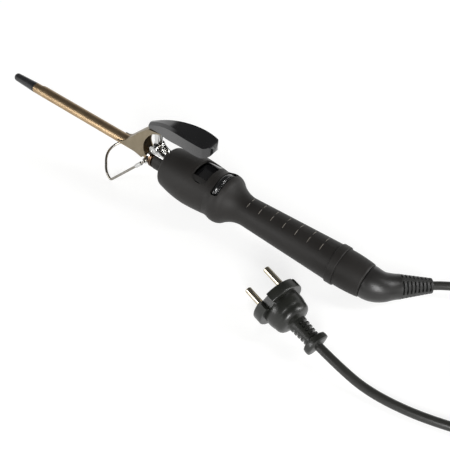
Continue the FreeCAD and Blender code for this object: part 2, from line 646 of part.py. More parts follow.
# ----------------------------------------------------------------- handle
def shell_outline():
    """Half section of the handle wall: head, waist, bulge, grip and tail, then the inside."""
    bay_end = "dial_bay_start + dial_bay"
    band_end = "band_start + band_width"
    wall = "shell_wall"
    outside = [
        ("0", "face_radius"), ("4", "head_front_radius", "4.6"),
        ("26", "head_radius", "95"), ("46", "waist_radius", "190"),
        ("dial_bay_start + 0.6", "waist_radius + 0.7", "-20"), ("dial_bay_start + 6", "bulge_radius", "12"),
        ("dial_bay_start + 11.6", "bulge_radius - 2.7", "9"), ("grip_start", "grip_radius", "-24"),
        ("band_start", "grip_rear_radius"), ("band_start", "band_seat"), (band_end, "band_seat"),
        (band_end, "grip_rear_radius - 0.1"), ("handle_length - 1.2", "tail_radius + 0.6", "110"),
        ("handle_length", "tail_radius - 0.6", "1.7")]
    inside = [
        ("handle_length", "spigot_radius + running_fit"),
        ("handle_length - end_wall", "spigot_radius + running_fit"),
        ("handle_length - end_wall", "spigot_flange + 0.4"), (band_end, f"band_seat - {wall}"),
        ("band_start", f"band_seat - {wall}"), ("grip_start", f"grip_radius - {wall}"),
        ("grip_start - 9", f"grip_radius - {wall} + 1.2"), (bay_end + " + 1", f"bulge_radius - {wall}"),
        (bay_end + " - 4", f"bulge_radius - {wall}"), ("dial_bay_start - 2", f"waist_radius - {wall}"),
        ("28", f"head_radius - {wall}"), ("3", f"head_front_radius - {wall}"),
        ("2.6", f"head_front_radius - {wall} - 0.4"),
        ("2.6", "collar_radius + 0.1"), ("0", "collar_radius + 0.1")]
    return outside + inside


def grip_radius_at(place):
    """Outside radius of the grip's straight taper at a place along it."""
    growth = "(grip_rear_radius - grip_radius) / (band_start - grip_start)"
    return f"(grip_radius + ({place} - grip_start) * {growth})"


def boss_places():
    """Where the handle's screws are: (x, z) formulas."""
    return [("17", "-10.6"), ("62.4", "4"), ("97", "0"), ("139", "0")]


def handle_shell(label, near):
    """One half of the handle, with its screw bosses and its share of the openings."""
    body = new_body(label)
    wall = outline(new_sketch(body, label + "_outline", "XZ_Plane"), shell_outline())
    revolve(body, label + "_turn", wall, angle="180", reverse=not near)
    DOC.recompute()
    for index, (x_text, z_text) in enumerate(boss_places()):
        depth = grip_radius_at(x_text) + " - shell_wall + 0.4" if index > 1 else "12.4"
        boss = circle(new_sketch(body, f"{label}_boss_{index}", "XZ_Plane"), x_text, z_text, "2.5")
        pad(body, f"{label}_boss_pad_{index}", boss, depth, reverse=not near)
    DOC.recompute()
    for index, (x_text, z_text) in enumerate(boss_places()):
        bore = circle(new_sketch(body, f"{label}_bore_{index}", "XZ_Plane"), x_text, z_text, "1.05")
        pocket(body, f"{label}_bore_cut_{index}", bore, "9" if near else "30", reverse=near)
        if not near:
            sink = new_sketch(body, f"{label}_sink_{index}", "XZ_Plane", "-8.2" if index < 2 else "-7.8")
            circle(sink, x_text, z_text, "2.1")
            pocket(body, f"{label}_sink_cut_{index}", sink, "14", reverse=False)
    cut_openings(body, label, near)
    cut_ribs(body, label, near)
    return body


def cut_openings(body, label, near):
    """Openings for the switch, the dial and the bracket's arms."""
    half = "switch_width / 2"
    window = outline(new_sketch(body, label + "_window", "XY_Plane", "switch_floor - 2.6"), [
        (f"switch_middle - {half}", "-switch_half_span + 3"),
        (f"switch_middle + {half}", "-switch_half_span + 3", "-7.2"),
        (f"switch_middle + {half}", "switch_half_span - 3"),
        (f"switch_middle - {half}", "switch_half_span - 3", "-7.2")])
    pocket(body, label + "_window_cut", window, "12", reverse=True)
    span = "(dial_radius * dial_slot_slope - 7.44)"
    slot = outline(new_sketch(body, label + "_slot", "XY_Plane", "0"), [
        ("dial_bay_start + 0.35", "-" + span),
        ("dial_bay_start + dial_bay - 0.35", "-" + span, "-5.3"),
        ("dial_bay_start + dial_bay - 0.35", span),
        ("dial_bay_start + 0.35", span, "-5.3")])
    pocket(body, label + "_slot_cut", slot, "dial_radius + 8.4", reverse=True)
    notch = outline(new_sketch(body, label + "_arm_notch", "YZ_Plane", "-1"), [
        ("-arm_gap - arm_sheet - 0.15", "collar_radius - 3"),
        ("arm_gap + arm_sheet + 0.15", "collar_radius - 3"),
        ("arm_gap + arm_sheet + 0.15", "arm_base + 2.4"),
        ("-arm_gap - arm_sheet - 0.15", "arm_base + 2.4")])
    pocket(body, label + "_arm_notch_cut", notch, "5", reverse=True)


def cut_ribs(body, label, near):
    """Fine grip grooves over the top of the grip, one pitch apart."""
    for index in range(int(size("rib_count"))):
        place = f"rib_first + {index} * rib_pitch"
        radius = grip_radius_at(place)
        groove = outline(new_sketch(body, f"{label}_rib_{index}", "XZ_Plane"), [
            (f"{place} - 0.5", f"{radius} + 0.3"), (f"{place}", f"{radius} - rib_depth"),
            (f"{place} + 0.5", f"{radius} + 0.3")])
        revolve(body, f"{label}_rib_cut_{index}", groove, kind="Groove", angle="33", reverse=not near)


def handle_screws():
    """Screws driven in from the far side, with flat round heads and a cross recess."""
    screws = []
    for index, (x_text, z_text) in enumerate(boss_places()):
        seat = 8.2 if index < 2 else 7.8
        base = Vector(size(x_text), seat + 0.05, size(z_text))
        head = Part.makeCylinder(2.0, 1.5, base, Y_AXIS)
        shank = Part.makeCylinder(1.0, 15.5, base + Vector(0, -15.5, 0), Y_AXIS)
        cross = [Part.makeBox(2.6, 0.9, 0.6, base + Vector(-1.3, 0.7, -0.3)),
                 Part.makeBox(0.6, 0.9, 2.6, base + Vector(-0.3, 0.7, -1.3))]
        screws.append(head.fuse(shank).cut(cross[0]).cut(cross[1]))
    return solid_part("handle_screws", Part.makeCompound(screws))


def rear_band():
    """Raised band that holds the two halves of the handle together."""
    return turned("rear_band", [
        ("band_start + 0.05", "band_seat + seat_fit"), ("band_start + 0.05", "band_radius - 0.5"),
        ("band_start + 0.55", "band_radius", "0.55"), ("band_start + band_width - 0.55", "band_radius"),
        ("band_start + band_width - 0.05", "band_radius - 0.5", "0.55"),
        ("band_start + band_width - 0.05", "band_seat + seat_fit")])


# --------------------------------------------------------- switch and dial
def switch_frame():
    """Gloss panel sunk in the head, with a tray for the rocker."""
    body = new_body("switch_frame")
    half = "(switch_width / 2 - panel_fit)"
    end = "(switch_half_span - 3 - panel_fit / 2)"
    panel = outline(new_sketch(body, "panel_outline", "XY_Plane", "switch_floor - 2.4"), [
        (f"switch_middle - {half}", f"-{end}"), (f"switch_middle + {half}", f"-{end}", "-7.4"),
        (f"switch_middle + {half}", end), (f"switch_middle - {half}", end, "-7.4")])
    pad(body, "panel_pad", panel, "2.4")
    DOC.recompute()
    tray = outline(new_sketch(body, "tray_outline", "XY_Plane", "switch_floor"), [
        ("switch_middle - rocker_width / 2 - rocker_play", "-rocker_half_span - rocker_play"),
        ("switch_middle + rocker_width / 2 + rocker_play", "-rocker_half_span - rocker_play"),
        ("switch_middle + rocker_width / 2 + rocker_play", "rocker_half_span + rocker_play"),
        ("switch_middle - rocker_width / 2 - rocker_play", "rocker_half_span + rocker_play")])
    pocket(body, "tray_cut", tray, "2.4")
    return body


def rocker_switch():
    """Rocker that tips across the handle, with a shallow valley between its two pads."""
    body = new_body("rocker_switch")
    side = outline(new_sketch(body, "rocker_outline", "YZ_Plane", "switch_middle - rocker_width / 2"), [
        ("-rocker_half_span", "switch_floor - 1.2"), ("-4.5", "switch_floor - 3.4"),
        ("4.5", "switch_floor - 3.4"), ("rocker_half_span", "switch_floor - 1.2"),
        ("rocker_half_span", "switch_floor + 1.3"), ("-rocker_half_span", "switch_floor + 0.1", "24")])
    pad(body, "rocker_pad", side, "rocker_width")
    return body


def switch_block():
    """Switch body below the panel, with two terminals."""
    x_place, floor = size("switch_middle"), size("switch_floor")
    block = Part.makeBox(10.4, 15.0, 5.6, Vector(x_place - 5.2, -7.5, floor - 9.6))
    tabs = [Part.makeBox(0.8, 4.0, 3.4, Vector(x_place + shift, -2.0, floor - 13.0))
            for shift in (-3.4, 2.6)]
    return solid_part("switch_block", block.fuse(tabs))


def heat_dial():
    """Ribbed thumbwheel that shows through a slot across the head."""
    body = new_body("heat_dial", REST * Placement(
        Vector(size("dial_bay_start + dial_bay / 2"), 0, size("dial_lift")), Rotation()))
    half = "dial_width / 2"
    wheel = outline(new_sketch(body, "dial_outline", "XZ_Plane"), [
        (f"-{half}", "dial_shaft + running_fit"), (f"-{half}", "dial_radius - 0.8"),
        (f"-{half} + 0.6", "dial_radius"), (f"{half} - 0.6", "dial_radius"),
        (half, "dial_radius - 0.8"), (half, "dial_radius - 2.4"), ("0.9", "dial_radius - 3.2"),
        ("0.9", "dial_shaft + 2.5"), (half, "dial_shaft + 2"), (half, "dial_shaft + running_fit")])
    turn = revolve(body, "dial_turn", wheel)
    DOC.recompute()
    nick = circle(new_sketch(body, "dial_nick", "YZ_Plane"), "0", "dial_radius + 0.25", "0.75")
    cut = pocket(body, "dial_nick_cut", nick, "2 * dial_width", middle=True)
    ring = body.newObject("PartDesign::PolarPattern", "dial_nicks")
    ring.Originals = [cut]
    ring.Axis = (origin_feature(body, "X_Axis"), [""])
    ring.Angle = 360
    ring.Occurrences = 36
    body.Tip = ring
    return body


def heat_control():
    """Rotary control behind the dial: a can with a shaft that carries the wheel."""
    body = new_body("heat_control", REST * Placement(
        Vector(size("dial_bay_start + dial_bay / 2"), 0, size("dial_lift")), Rotation()))
    half = "dial_width / 2"
    revolve(body, "control_turn", outline(new_sketch(body, "control_outline", "XZ_Plane"), [
        (f"-{half} - 5.2", "0"), (f"-{half} - 5.2", "7.4"), (f"-{half} - 0.6", "7.4"),
        (f"-{half} - 0.6", "4.4"), (f"-{half} - 0.3", "4.4"), (f"-{half} - 0.3", "dial_shaft"),
        (half, "dial_shaft"), (half, "0")]))
    return body


def circuit_board():
    """Board under the switch and the control, with a relay and a capacitor."""
    board = Part.makeBox(27, 21, 1.6, Vector(12.4, -10.5, -7.8))
    relay = Part.makeBox(9, 7, 6.4, Vector(14.6, -3.5, -6.2))
    can = Part.makeCylinder(2.4, 7.0, Vector(33.5, 6.4, -6.2), Z_AXIS)
    return solid_part("circuit_board", board.fuse([relay, can]))


def heater_leads():
    """Two insulated wires from the heater core back to the board."""
    wires, start = [], size("tip_spigot + core_gap - rod_length + core_length + 0.7")
    for side in (-1, 1):
        route = [Vector(start, side * 1.5, 0), Vector(9, side * 1.5, 0), Vector(12.6, side * 5.6, -2.4),
                 Vector(15.6, side * 6.6, -5.7)]
        wires.append(tube(rounded_path(route, [3.0, 2.2]), 0.8))
    return solid_part("heater_leads", Part.makeCompound(wires))


def supply_leads():
    """Two insulated wires along the grip, from the swivel brushes to the board."""
    wires, tail, spread = [], size("handle_length - 27.4"), size("dial_radius * 0.4 - 0.84")
    for side in (-1, 1):
        route = [Vector(38, side * spread, -8.25), Vector(41, side * spread, -13.3),
                 Vector(54, side * spread, -13.4),
                 Vector(67, side * 3.4, -6.4), Vector(84, side * 2.6, -5.4), Vector(tail, side * 2.6, -7.4)]
        wires.append(tube(rounded_path(route, [2.4, 2.4, 8.0, 12.0]), 0.9))
    return solid_part("supply_leads", Part.makeCompound(wires))


def thermal_fuse():
    """Glass-bodied cut-out in line with one heater wire, inside the collar."""
    fuse_link = DOC.addObject("Part::Cylinder", "thermal_fuse")
    bind(fuse_link, Radius="1.0", Height="9.0")
    fuse_link.Placement = REST * Placement(Vector(-9.0, 0, 2.6), Rotation(Y_AXIS, 90))
    return fuse_link


# --------------------------------------------------------------- swivel lead
def brush_block():
    """Insulating block in the tail of the handle that holds the two sprung brushes."""
    tail = size("handle_length - end_wall")
    block = Part.makeBox(14, 6.4, 2.0, Vector(tail - 18.6, -3.2, -8.6))
    brushes = [Part.makeBox(2.0, 2.0, 1.0, Vector(tail - shift, -1.0, -6.7)) for shift in (14.5, 9.5)]
    return solid_part("brush_block", block.fuse(brushes))


def swivel_drum():
    """Insulating drum on the elbow's spigot, with two brass contact rings round it."""
    tail = "handle_length - end_wall"
    return turned("swivel_drum", [
        (f"{tail} - 17.5", "0"), (f"{tail} - 17.5", "4.6"), (f"{tail} - 3.2", "4.6"), (f"{tail} - 3.2", "0")])


def contact_rings():
    """Brass rings on the drum, one for each wire of the lead."""
    tail = size("handle_length - end_wall")
    rings = []
    for shift in (15.5, 10.5):
        outer = Part.makeCylinder(5.3, 4.0, Vector(tail - shift, 0, 0), X_AXIS)
        inner = Part.makeCylinder(4.63, 4.0, Vector(tail - shift, 0, 0), X_AXIS)
        rings.append(outer.cut(inner))
    return solid_part("contact_rings", Part.makeCompound(rings))


def swivel_elbow():
    """Elbow that turns in the tail of the handle: flange and spigot inside, bent body outside."""
    tail, seam = size("handle_length - end_wall"), size("handle_length + seam_gap")
    corner, turn = size("handle_length + elbow_advance"), size("elbow_turn")
    reach, root, end = size("elbow_reach"), size("elbow_radius"), size("elbow_exit_radius")
    stations = [(seam, 0.0, 0.0, root - 0.9), (seam + 0.9, 0.0, 0.0, root)]
    approach = corner - seam
    bends = ((0.62, 0.16, 1.0), (1.0, 0.5, 0.95), (1.42, 0.84, 0.85))
    for advance, share, swell in bends:
        angle = math.radians(turn * share)
        along = approach * advance
        side = max(0.0, along - approach) * math.sin(math.radians(turn)) + 0.25 * share
        stations.append((seam + along, side, angle, root * swell))
    for distance, radius in ((reach - 2.4, end + 0.1), (reach, end)):
        angle = math.radians(turn)
        stations.append((corner + distance * math.cos(angle), distance * math.sin(angle), angle, radius))
    rings = [Part.Wire(Part.makeCircle(radius, Vector(x_place, y_place, 0),
                                       Vector(math.cos(angle), math.sin(angle), 0)))
             for x_place, y_place, angle, radius in stations]
    bend = Part.makeLoft(rings, True, False)
    inside = Vector(tail - 3.0, 0, 0)
    spigot = Part.makeCylinder(size("spigot_radius"), seam + 2 - (tail - 3.0), inside, X_AXIS)
    flange = Part.makeCylinder(size("spigot_flange"), 2.6, inside, X_AXIS)
    return solid_part("swivel_elbow", bend.fuse([spigot, flange]).removeSplitter())


def strain_relief():
    """Tapered, ribbed sleeve round the lead where it leaves the elbow."""
    ribs = int(size("relief_ribs"))
    step = size("relief_length") / ribs
    start, wide, thin = size("elbow_reach"), size("elbow_exit_radius"), size("relief_end_radius")
    bore = size("lead_radius") + 0.12
    corners = [(start, bore)]
    for index in range(ribs):
        place = start + index * step
        radius = wide + (thin - wide) * (index + 0.5) / ribs
        corners += [(place + 0.02, radius - 1.5), (place + 0.35 * step, radius - 1.5),
                    (place + 0.42 * step, radius - 0.15), (place + 0.93 * step, radius - 0.25),
                    (place + step, radius - 1.5)]
    corners.append((start + ribs * step, bore))
    points = [Vector(x_place, 0, radius) for x_place, radius in corners]
    face = Part.Face(Part.makePolygon(points + points[:1]))
    return solid_part("strain_relief", face.revolve(ORIGIN, X_AXIS, 360), elbow_placement())


LEAD_OUT = [laid(202.9, 34.85, 11.08, 1.0), laid(230.335, 45.905, 6.2, 0.5), laid(256.335, 49.505, 3.2),
            laid(281.035, 46.105, 3.2)]
LEAD_BACK = [laid(296.835, -37.295, 3.2), laid(273.335, -49.895, 3.2), laid(248.235, -59.295, 3.2),
             laid(221.835, -66.095, 3.25), laid(195.435, -69.195, 4.6), laid(174.835, -69.495, 8.3)]
COIL_CENTRE = laid(274.835, 1.705, 0)


def lead_exit(distance):
    """Point on the axis of the strain relief, measured from the elbow's corner."""
    return elbow_placement().multVec(Vector(distance, 0, 0))


def lead_tube(label, points):
    """Free stretch of the lead as one plain tube; prints its corner radii and checks its volume."""
    radii = lead_radii(points)
    path = rounded_path(points, radii)
    shape = tube(path, size("lead_radius"))
    exact = math.pi * size("lead_radius") ** 2 * path.Length
    print(label, "radii", [round(value, 1) for value in radii], "length", round(path.Length, 1),
          "volume ratio", round(shape.Volume / exact, 5))
    return solid_part(label, shape, Placement())


def lead_out():
    """Lead from inside the strain relief to the coil."""
    end = size("elbow_reach + relief_length")
    return lead_tube("lead_out", [lead_exit(end - 8)] + LEAD_OUT)


def lead_back():
    """Lead from the coil to the plug's pull ring."""
    ring_end = PLUG.multVec(Vector(size("ring_middle + ring_half_width"), 0, 0))
    return lead_tube("lead_back", LEAD_BACK + [ring_end])


def lead_coil():
    """Outer shape of the wound part of the lead: a ring with a rounded section."""
    mean, half, top = size("coil_mean"), size("coil_half_width"), size("coil_height")
    ring = Part.makeCylinder(mean + half, top, COIL_CENTRE)
    ring = ring.cut(Part.makeCylinder(mean - half, top, COIL_CENTRE))
    return solid_part("lead_coil", ring.makeChamfer(0.6 * size("lead_radius"), [
        edge for edge in ring.Edges if len(edge.Vertexes) == 1]), Placement())


def plug_body():
    """Moulded plug: notched round flange, domed back, slotted neck and a pull ring."""
    body = new_body("plug_body", PLUG)
    revolve(body, "plug_turn", outline(new_sketch(body, "plug_outline", "XZ_Plane"), [
        ("0", "0"), ("0", "flange_radius - 0.8"), ("0.8", "flange_radius", "0.8"),
        ("flange_depth - 1.2", "flange_radius"), ("flange_depth", "flange_radius - 1.2", "1.2"),
        ("flange_depth", "dome_radius"), ("dome_middle", "dome_radius", "60"),
        ("dome_middle + 7.4", "neck_radius + 1", "9.0"),
        ("neck_end", "neck_end_radius"), ("ring_middle - ring_half_width", "neck_end_radius"),
        ("ring_middle - ring_half_width + 1.2", "ring_radius"),
        ("ring_middle + ring_half_width - 1.2", "ring_radius"),
        ("ring_middle + ring_half_width", "neck_end_radius - 1"),
        ("ring_middle + ring_half_width", "0")]))
    DOC.recompute()
    for side, reverse in (("upper", True), ("lower", False)):
        sign = "" if side == "upper" else "-"
        depth = f"{sign}(flange_radius - notch_depth)"
        notch = outline(new_sketch(body, f"notch_{side}", "YZ_Plane", "-1"), [
            ("-notch_half_width", depth), ("notch_half_width", depth),
            ("notch_half_width + 0.8", f"{sign}(flange_radius + 2)"),
            ("-notch_half_width - 0.8", f"{sign}(flange_radius + 2)")][::1 if side == "upper" else -1])
        pocket(body, f"notch_{side}_cut", notch, "flange_depth + 1.01", reverse=True)
    for side in (-1, 1):
        edge = [("flange_radius - guide_depth", "-guide_half_width"),
                ("flange_radius + 2", "-guide_half_width"),
                ("flange_radius + 2", "guide_half_width"),
                ("flange_radius - guide_depth", "guide_half_width")]
        guide = outline(new_sketch(body, f"guide_{side + 1}", "YZ_Plane", "-1"),
                        [(f"{side} * ({x_text})", y_text) for x_text, y_text in edge][::side])
        pocket(body, f"guide_cut_{side + 1}", guide, "flange_depth - 0.6", reverse=True)
        bore = circle(new_sketch(body, f"pin_bore_{side + 1}", "YZ_Plane"), f"{side} * pin_spacing / 2", "0",
                      "pin_root_radius")
        pocket(body, f"pin_bore_cut_{side + 1}", bore, "pin_root", reverse=True)
    return body


def plug_pins():
    """Two round contact pins with domed ends and thinner roots inside the moulding."""
    pins = []
    radius, length = size("pin_radius"), size("pin_length")
    for side in (-1, 1):
        start = Vector(-length, side * size("pin_spacing") / 2, 0)
        root = Part.makeCylinder(size("pin_root_radius"), size("pin_root"),
                                 start + Vector(length, 0, 0), X_AXIS)
        pin = Part.makeCylinder(radius, length, start, X_AXIS).fuse(root)
        front = [edge for edge in pin.Edges if abs(edge.CenterOfMass.x + length) < 0.01]
        pins.append(pin.makeFillet(radius * 0.45, front[:1]))
    return solid_part("plug_pins", Part.makeCompound(pins), PLUG)


# ------------------------------------------------------------------- build
BUILDERS = [
    rod_tube, cool_tip, heater_core, heat_break, front_collar, rest_ring, wire_rest, rest_sleeves,
    clamp_spoon, clamp_yoke, hinge_lugs, thumb_lever, lever_rivets, pivot_pin, hinge_bushes,
    hinge_bracket, torsion_spring, handle_screws, rear_band, switch_frame, rocker_switch,
    switch_block, heat_dial, heat_control, circuit_board, heater_leads, supply_leads, thermal_fuse,
    brush_block, swivel_drum, contact_rings, swivel_elbow, strain_relief, lead_out, lead_coil,
    lead_back, plug_body, plug_pins]


def build_all():
    """Every sub-part of the iron, in order."""
    parts = [builder() for builder in BUILDERS]
    parts.append(handle_shell("handle_near_shell", True))
    parts.append(handle_shell("handle_far_shell", False))
    DOC.recompute()
    return parts


def check_all(parts):
    """Stop if any object failed or any sub-part is null, invalid or not solid."""
    failed = [item.Label for item in DOC.Objects if {"Invalid", "Error"} & set(item.State)]
    for part in parts:
        shape = part.Shape
        if shape.isNull() or not shape.isValid() or not shape.Solids:
            failed.append(part.Label)
    if failed:
        raise RuntimeError("failed: " + ", ".join(failed))


def write_all(parts):
    """One STEP file for each sub-part, named by its label."""
    os.makedirs("parts", exist_ok=True)
    for part in parts:
        part.Shape.exportStep(f"parts/{part.Label}.step")


def print_places(parts):
    """Joint centres and axes in the floor frame, and the box of the iron without its lead."""
    axis = REST.Rotation.multVec(X_AXIS)
    places = {
        "clamp_pivot": Vector(-size("pivot_back"), 0, size("pivot_height")),
        "rest_pivot": Vector(-size("rest_pivot_back"), 0, 0),
        "rocker_pivot": Vector(size("switch_middle"), 0, size("switch_floor - 2")),
        "dial_centre": Vector(size("dial_bay_start + dial_bay / 2"), 0, size("dial_lift")),
        "swivel_centre": Vector(size("handle_length"), 0, 0),
        "rod_middle": Vector(-size("rod_length") / 2, 0, 0)}
    for name, place in places.items():
        print(name, [round(value, 4) for value in REST.multVec(place)])
    middle = size("pin_radius * 0.45 - pin_length") / 2
    for name, side in (("pin_low", -1), ("pin_high", 1)):
        place = PLUG.multVec(Vector(middle, side * size("pin_spacing") / 2, 0))
        print(name, [round(value, 4) for value in place])
    print("plug_axis", [round(value, 6) for value in PLUG.Rotation.multVec(X_AXIS)])
    print("iron_axis", [round(value, 6) for value in axis])
    box = FreeCAD.BoundBox()
    for part in parts:
        if not part.Label.startswith(("lead_", "plug_")):
            box.add(part.Shape.optimalBoundingBox(False, False))
    corners = (box.XMin, box.YMin, box.ZMin, box.XMax, box.YMax, box.ZMax)
    print("iron box", [round(value, 2) for value in corners])


PARTS = build_all()
check_all(PARTS)
write_all(PARTS)
print_places(PARTS)
print(len(PARTS), "parts written")
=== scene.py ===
"""Looks of a slim curling iron with a sprung clamp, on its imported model."""
import json
import logging
import math
from dataclasses import dataclass
from enum import Enum
from typing import Callable, Sequence

import bpy
import numpy as np
from mathutils import Matrix, Vector


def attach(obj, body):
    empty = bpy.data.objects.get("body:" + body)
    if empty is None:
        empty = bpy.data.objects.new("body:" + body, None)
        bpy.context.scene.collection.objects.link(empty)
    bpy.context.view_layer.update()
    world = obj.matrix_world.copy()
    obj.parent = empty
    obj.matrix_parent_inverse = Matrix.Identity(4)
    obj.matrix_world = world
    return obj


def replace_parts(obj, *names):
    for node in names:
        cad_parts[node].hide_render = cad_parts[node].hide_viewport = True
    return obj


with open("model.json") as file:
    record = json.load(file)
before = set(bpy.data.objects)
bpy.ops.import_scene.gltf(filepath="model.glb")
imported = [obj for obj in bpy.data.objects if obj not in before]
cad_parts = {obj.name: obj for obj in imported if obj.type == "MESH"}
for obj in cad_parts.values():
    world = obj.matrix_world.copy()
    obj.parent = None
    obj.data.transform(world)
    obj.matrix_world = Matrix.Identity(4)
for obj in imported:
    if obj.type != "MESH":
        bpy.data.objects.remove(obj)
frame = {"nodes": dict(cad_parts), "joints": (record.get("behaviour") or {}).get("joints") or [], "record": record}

LOG = logging.getLogger("curling_iron")
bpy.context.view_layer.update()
MM = 0.001
WHITE = (1.0, 1.0, 1.0, 1.0)


# ------------------------------------------------------------------ colours and nodes
def linear(code: str) -> tuple[float, float, float, float]:
    """Turn an sRGB hex code into linear light.

    Args:
        code: Six hex digits with a leading #.

    Returns:
        Red, green and blue in linear light, with an alpha of 1.
    """
    parts = [int(code[place:place + 2], 16) / 255 for place in (1, 3, 5)]
    light = [part / 12.92 if part <= 0.04045 else ((part + 0.055) / 1.055) ** 2.4 for part in parts]
    return (light[0], light[1], light[2], 1.0)


def add_node(tree: bpy.types.NodeTree, kind: str, sockets: dict | None = None, **settings) -> bpy.types.Node:
    """Add one node, with its settings, its socket values and its links.

    Args:
        tree: The node tree that gets the node.
        kind: The node's type name without its ShaderNode prefix.
        sockets: Input name or number to a value, or to the output socket that feeds it.
        **settings: Properties of the node itself.

    Returns:
        The new node.
    """
    node = tree.nodes.new("ShaderNode" + kind)
    for name, value in settings.items():
        setattr(node, name, value)
    for key, value in (sockets or {}).items():
        if isinstance(value, bpy.types.NodeSocket):
            tree.links.new(value, node.inputs[key])
        else:
            node.inputs[key].default_value = value
    return node


def new_material(name: str) -> tuple[bpy.types.Material, bpy.types.NodeTree, bpy.types.NodeSocket]:
    """Start an empty node material.

    Args:
        name: The material's name.

    Returns:
        The material, its tree and the Object coordinates' socket.
    """
    material = bpy.data.materials.new(name)
    material.use_nodes = True
    material.node_tree.nodes.clear()
    place = add_node(material.node_tree, "TexCoord").outputs["Object"]
    return material, material.node_tree, place


class Grain(Enum):
    """Which way a surface's fine marks run."""

    EVEN = "even"
    ALONG = "along the rod"
    AROUND = "around the rod"


GRAIN_STRETCH = {Grain.EVEN: (1.0, 1.0, 1.0), Grain.ALONG: (0.05, 1.0, 1.0), Grain.AROUND: (1.0, 0.06, 0.06)}


@dataclass(frozen=True)
class Finish:
    """One surface finish: a base colour that drifts, fine grain, smudges and gloss.

    grain_mm is the width of the finest marks and grain_height_mm their height; smudge_mm is the size of
    the patches over which gloss and colour drift.
    """

    name: str
    colour: str
    drift: str
    roughness: float
    roughness_drift: float = 0.08
    metallic: float = 0.0
    grain: Grain = Grain.EVEN
    grain_mm: float = 0.4
    grain_height_mm: float = 0.01
    smudge_mm: float = 14.0
    ior: float = 1.5
    coat: float = 0.0
    coat_roughness: float = 0.1
    sheen: float = 0.0

    def build(self) -> bpy.types.Material:
        """Make the node material.

        Returns:
            The finished material.
        """
        material, tree, place = new_material(self.name)
        stretch = add_node(tree, "Mapping", {"Vector": place, "Rotation": (0.0, math.radians(3), 0.0),
                                            "Scale": GRAIN_STRETCH[self.grain]})
        smudges = add_node(tree, "TexNoise", {"Vector": place, "Scale": 1 / (self.smudge_mm * MM),
                                             "Detail": 3.0, "Roughness": 0.55})
        marks = add_node(tree, "TexNoise", {"Vector": stretch.outputs[0], "Scale": 1 / (self.grain_mm * MM),
                                           "Detail": 2.0, "Roughness": 0.6})
        tint = add_node(tree, "ValToRGB", {"Fac": smudges.outputs["Fac"]})
        tint.color_ramp.elements[0].position = 0.32
        tint.color_ramp.elements[0].color = linear(self.colour)
        tint.color_ramp.elements[1].position = 0.70
        tint.color_ramp.elements[1].color = linear(self.drift)
        gloss = add_node(tree, "MapRange", {"Value": smudges.outputs["Fac"], "From Min": 0.3, "From Max": 0.7,
                                           "To Min": self.roughness,
                                           "To Max": self.roughness + self.roughness_drift})
        bump = add_node(tree, "Bump", {"Height": marks.outputs["Fac"], "Strength": 1.0,
                                      "Distance": self.grain_height_mm * MM})
        shader = add_node(tree, "BsdfPrincipled", {
            "Base Color": tint.outputs["Color"], "Roughness": gloss.outputs["Result"],
            "Normal": bump.outputs["Normal"], "Metallic": self.metallic})
        if self.metallic < 0.5:
            shader.inputs["IOR"].default_value = self.ior
        if self.coat:
            shader.inputs["Coat Weight"].default_value = self.coat
            shader.inputs["Coat Roughness"].default_value = self.coat_roughness
        if self.sheen:
            shader.inputs["Sheen Weight"].default_value = self.sheen
        add_node(tree, "OutputMaterial", {"Surface": shader.outputs["BSDF"]})
        return material


# Titanium-bronze coat on drawn steel tube: satin, with fine marks of the polishing belt round the tube.
BARREL = Finish("bronze_coated_steel", "#A28A6C", "#AE9778", 0.37, 0.06, 1.0, Grain.AROUND, 0.25, 0.002, 9.0)
# The same coat on pressed sheet, flatter and greyer because the sheet is not polished.
YOKE = Finish("bronze_coated_sheet", "#887D69", "#948975", 0.42, 0.08, 1.0, Grain.ALONG, 0.3, 0.006, 6.0)
# Nickel-chrome plate: bright, and hardly marked.
PLATE = Finish("bright_chrome_plate", "#C9C9C7", "#D4D4D3", 0.10, 0.06, 1.0, Grain.EVEN, 0.5, 0.002, 5.0)
# Drawn and plated wire: a little duller than pressed plate, with die marks.
SPRING = Finish("plated_spring_wire", "#9A9690", "#87837B", 0.15, 0.06, 1.0, Grain.EVEN, 0.3, 0.003, 4.0)
# Chrome plate in dark brown.
DARK_PLATE = Finish("smoked_chrome_plate", "#5A4A3C", "#6E5A48", 0.18, 0.10, 1.0, Grain.AROUND, 0.3, 0.003,
                    4.0)
# Heat-proof phenolic moulding of the tip: black, slightly sparkling satin.
TIP = Finish("phenolic_moulding", "#1E1E20", "#262628", 0.26, 0.10, 0.0, Grain.EVEN, 0.35, 0.010, 6.0)
# Soft-touch lacquer over ABS: a rubbery, warm, nearly matt black with a faint handled bloom.
SOFT_TOUCH = Finish("soft_touch_lacquer", "#181614", "#1D1B19", 0.52, 0.08, 0.0, Grain.EVEN, 0.22, 0.006,
                    22.0, ior=1.37, sheen=0.02)
# The same lacquer on the thin grip ridges. It is glossier, and its greyer colour is a painted highlight that
# stands in for the light the ridges catch.
RIDGE_HIGHLIGHT_TOUCH = Finish("ridge_painted_highlight_lacquer", "#57524B", "#625D56", 0.36, 0.08, 0.0, Grain.EVEN, 0.3, 0.004, 8.0)
# Piano-black ABS: flat, wet gloss.
GLOSS = Finish("gloss_black_abs", "#0F0F10", "#131314", 0.10, 0.04, 0.0, Grain.EVEN, 2.2, 0.003, 18.0,
               ior=1.54, coat=0.6, coat_roughness=0.06)
# Satin ABS, spark-eroded tool: fine even texture.
SATIN = Finish("satin_black_abs", "#1A1918", "#201F1E", 0.33, 0.06, 0.0, Grain.EVEN, 0.25, 0.006, 16.0)
# Softer PVC of the sleeve round the lead: waxy.
SLEEVE = Finish("soft_pvc_sleeve", "#1D1D1C", "#232322", 0.42, 0.07, 0.0, Grain.EVEN, 0.3, 0.006, 9.0)
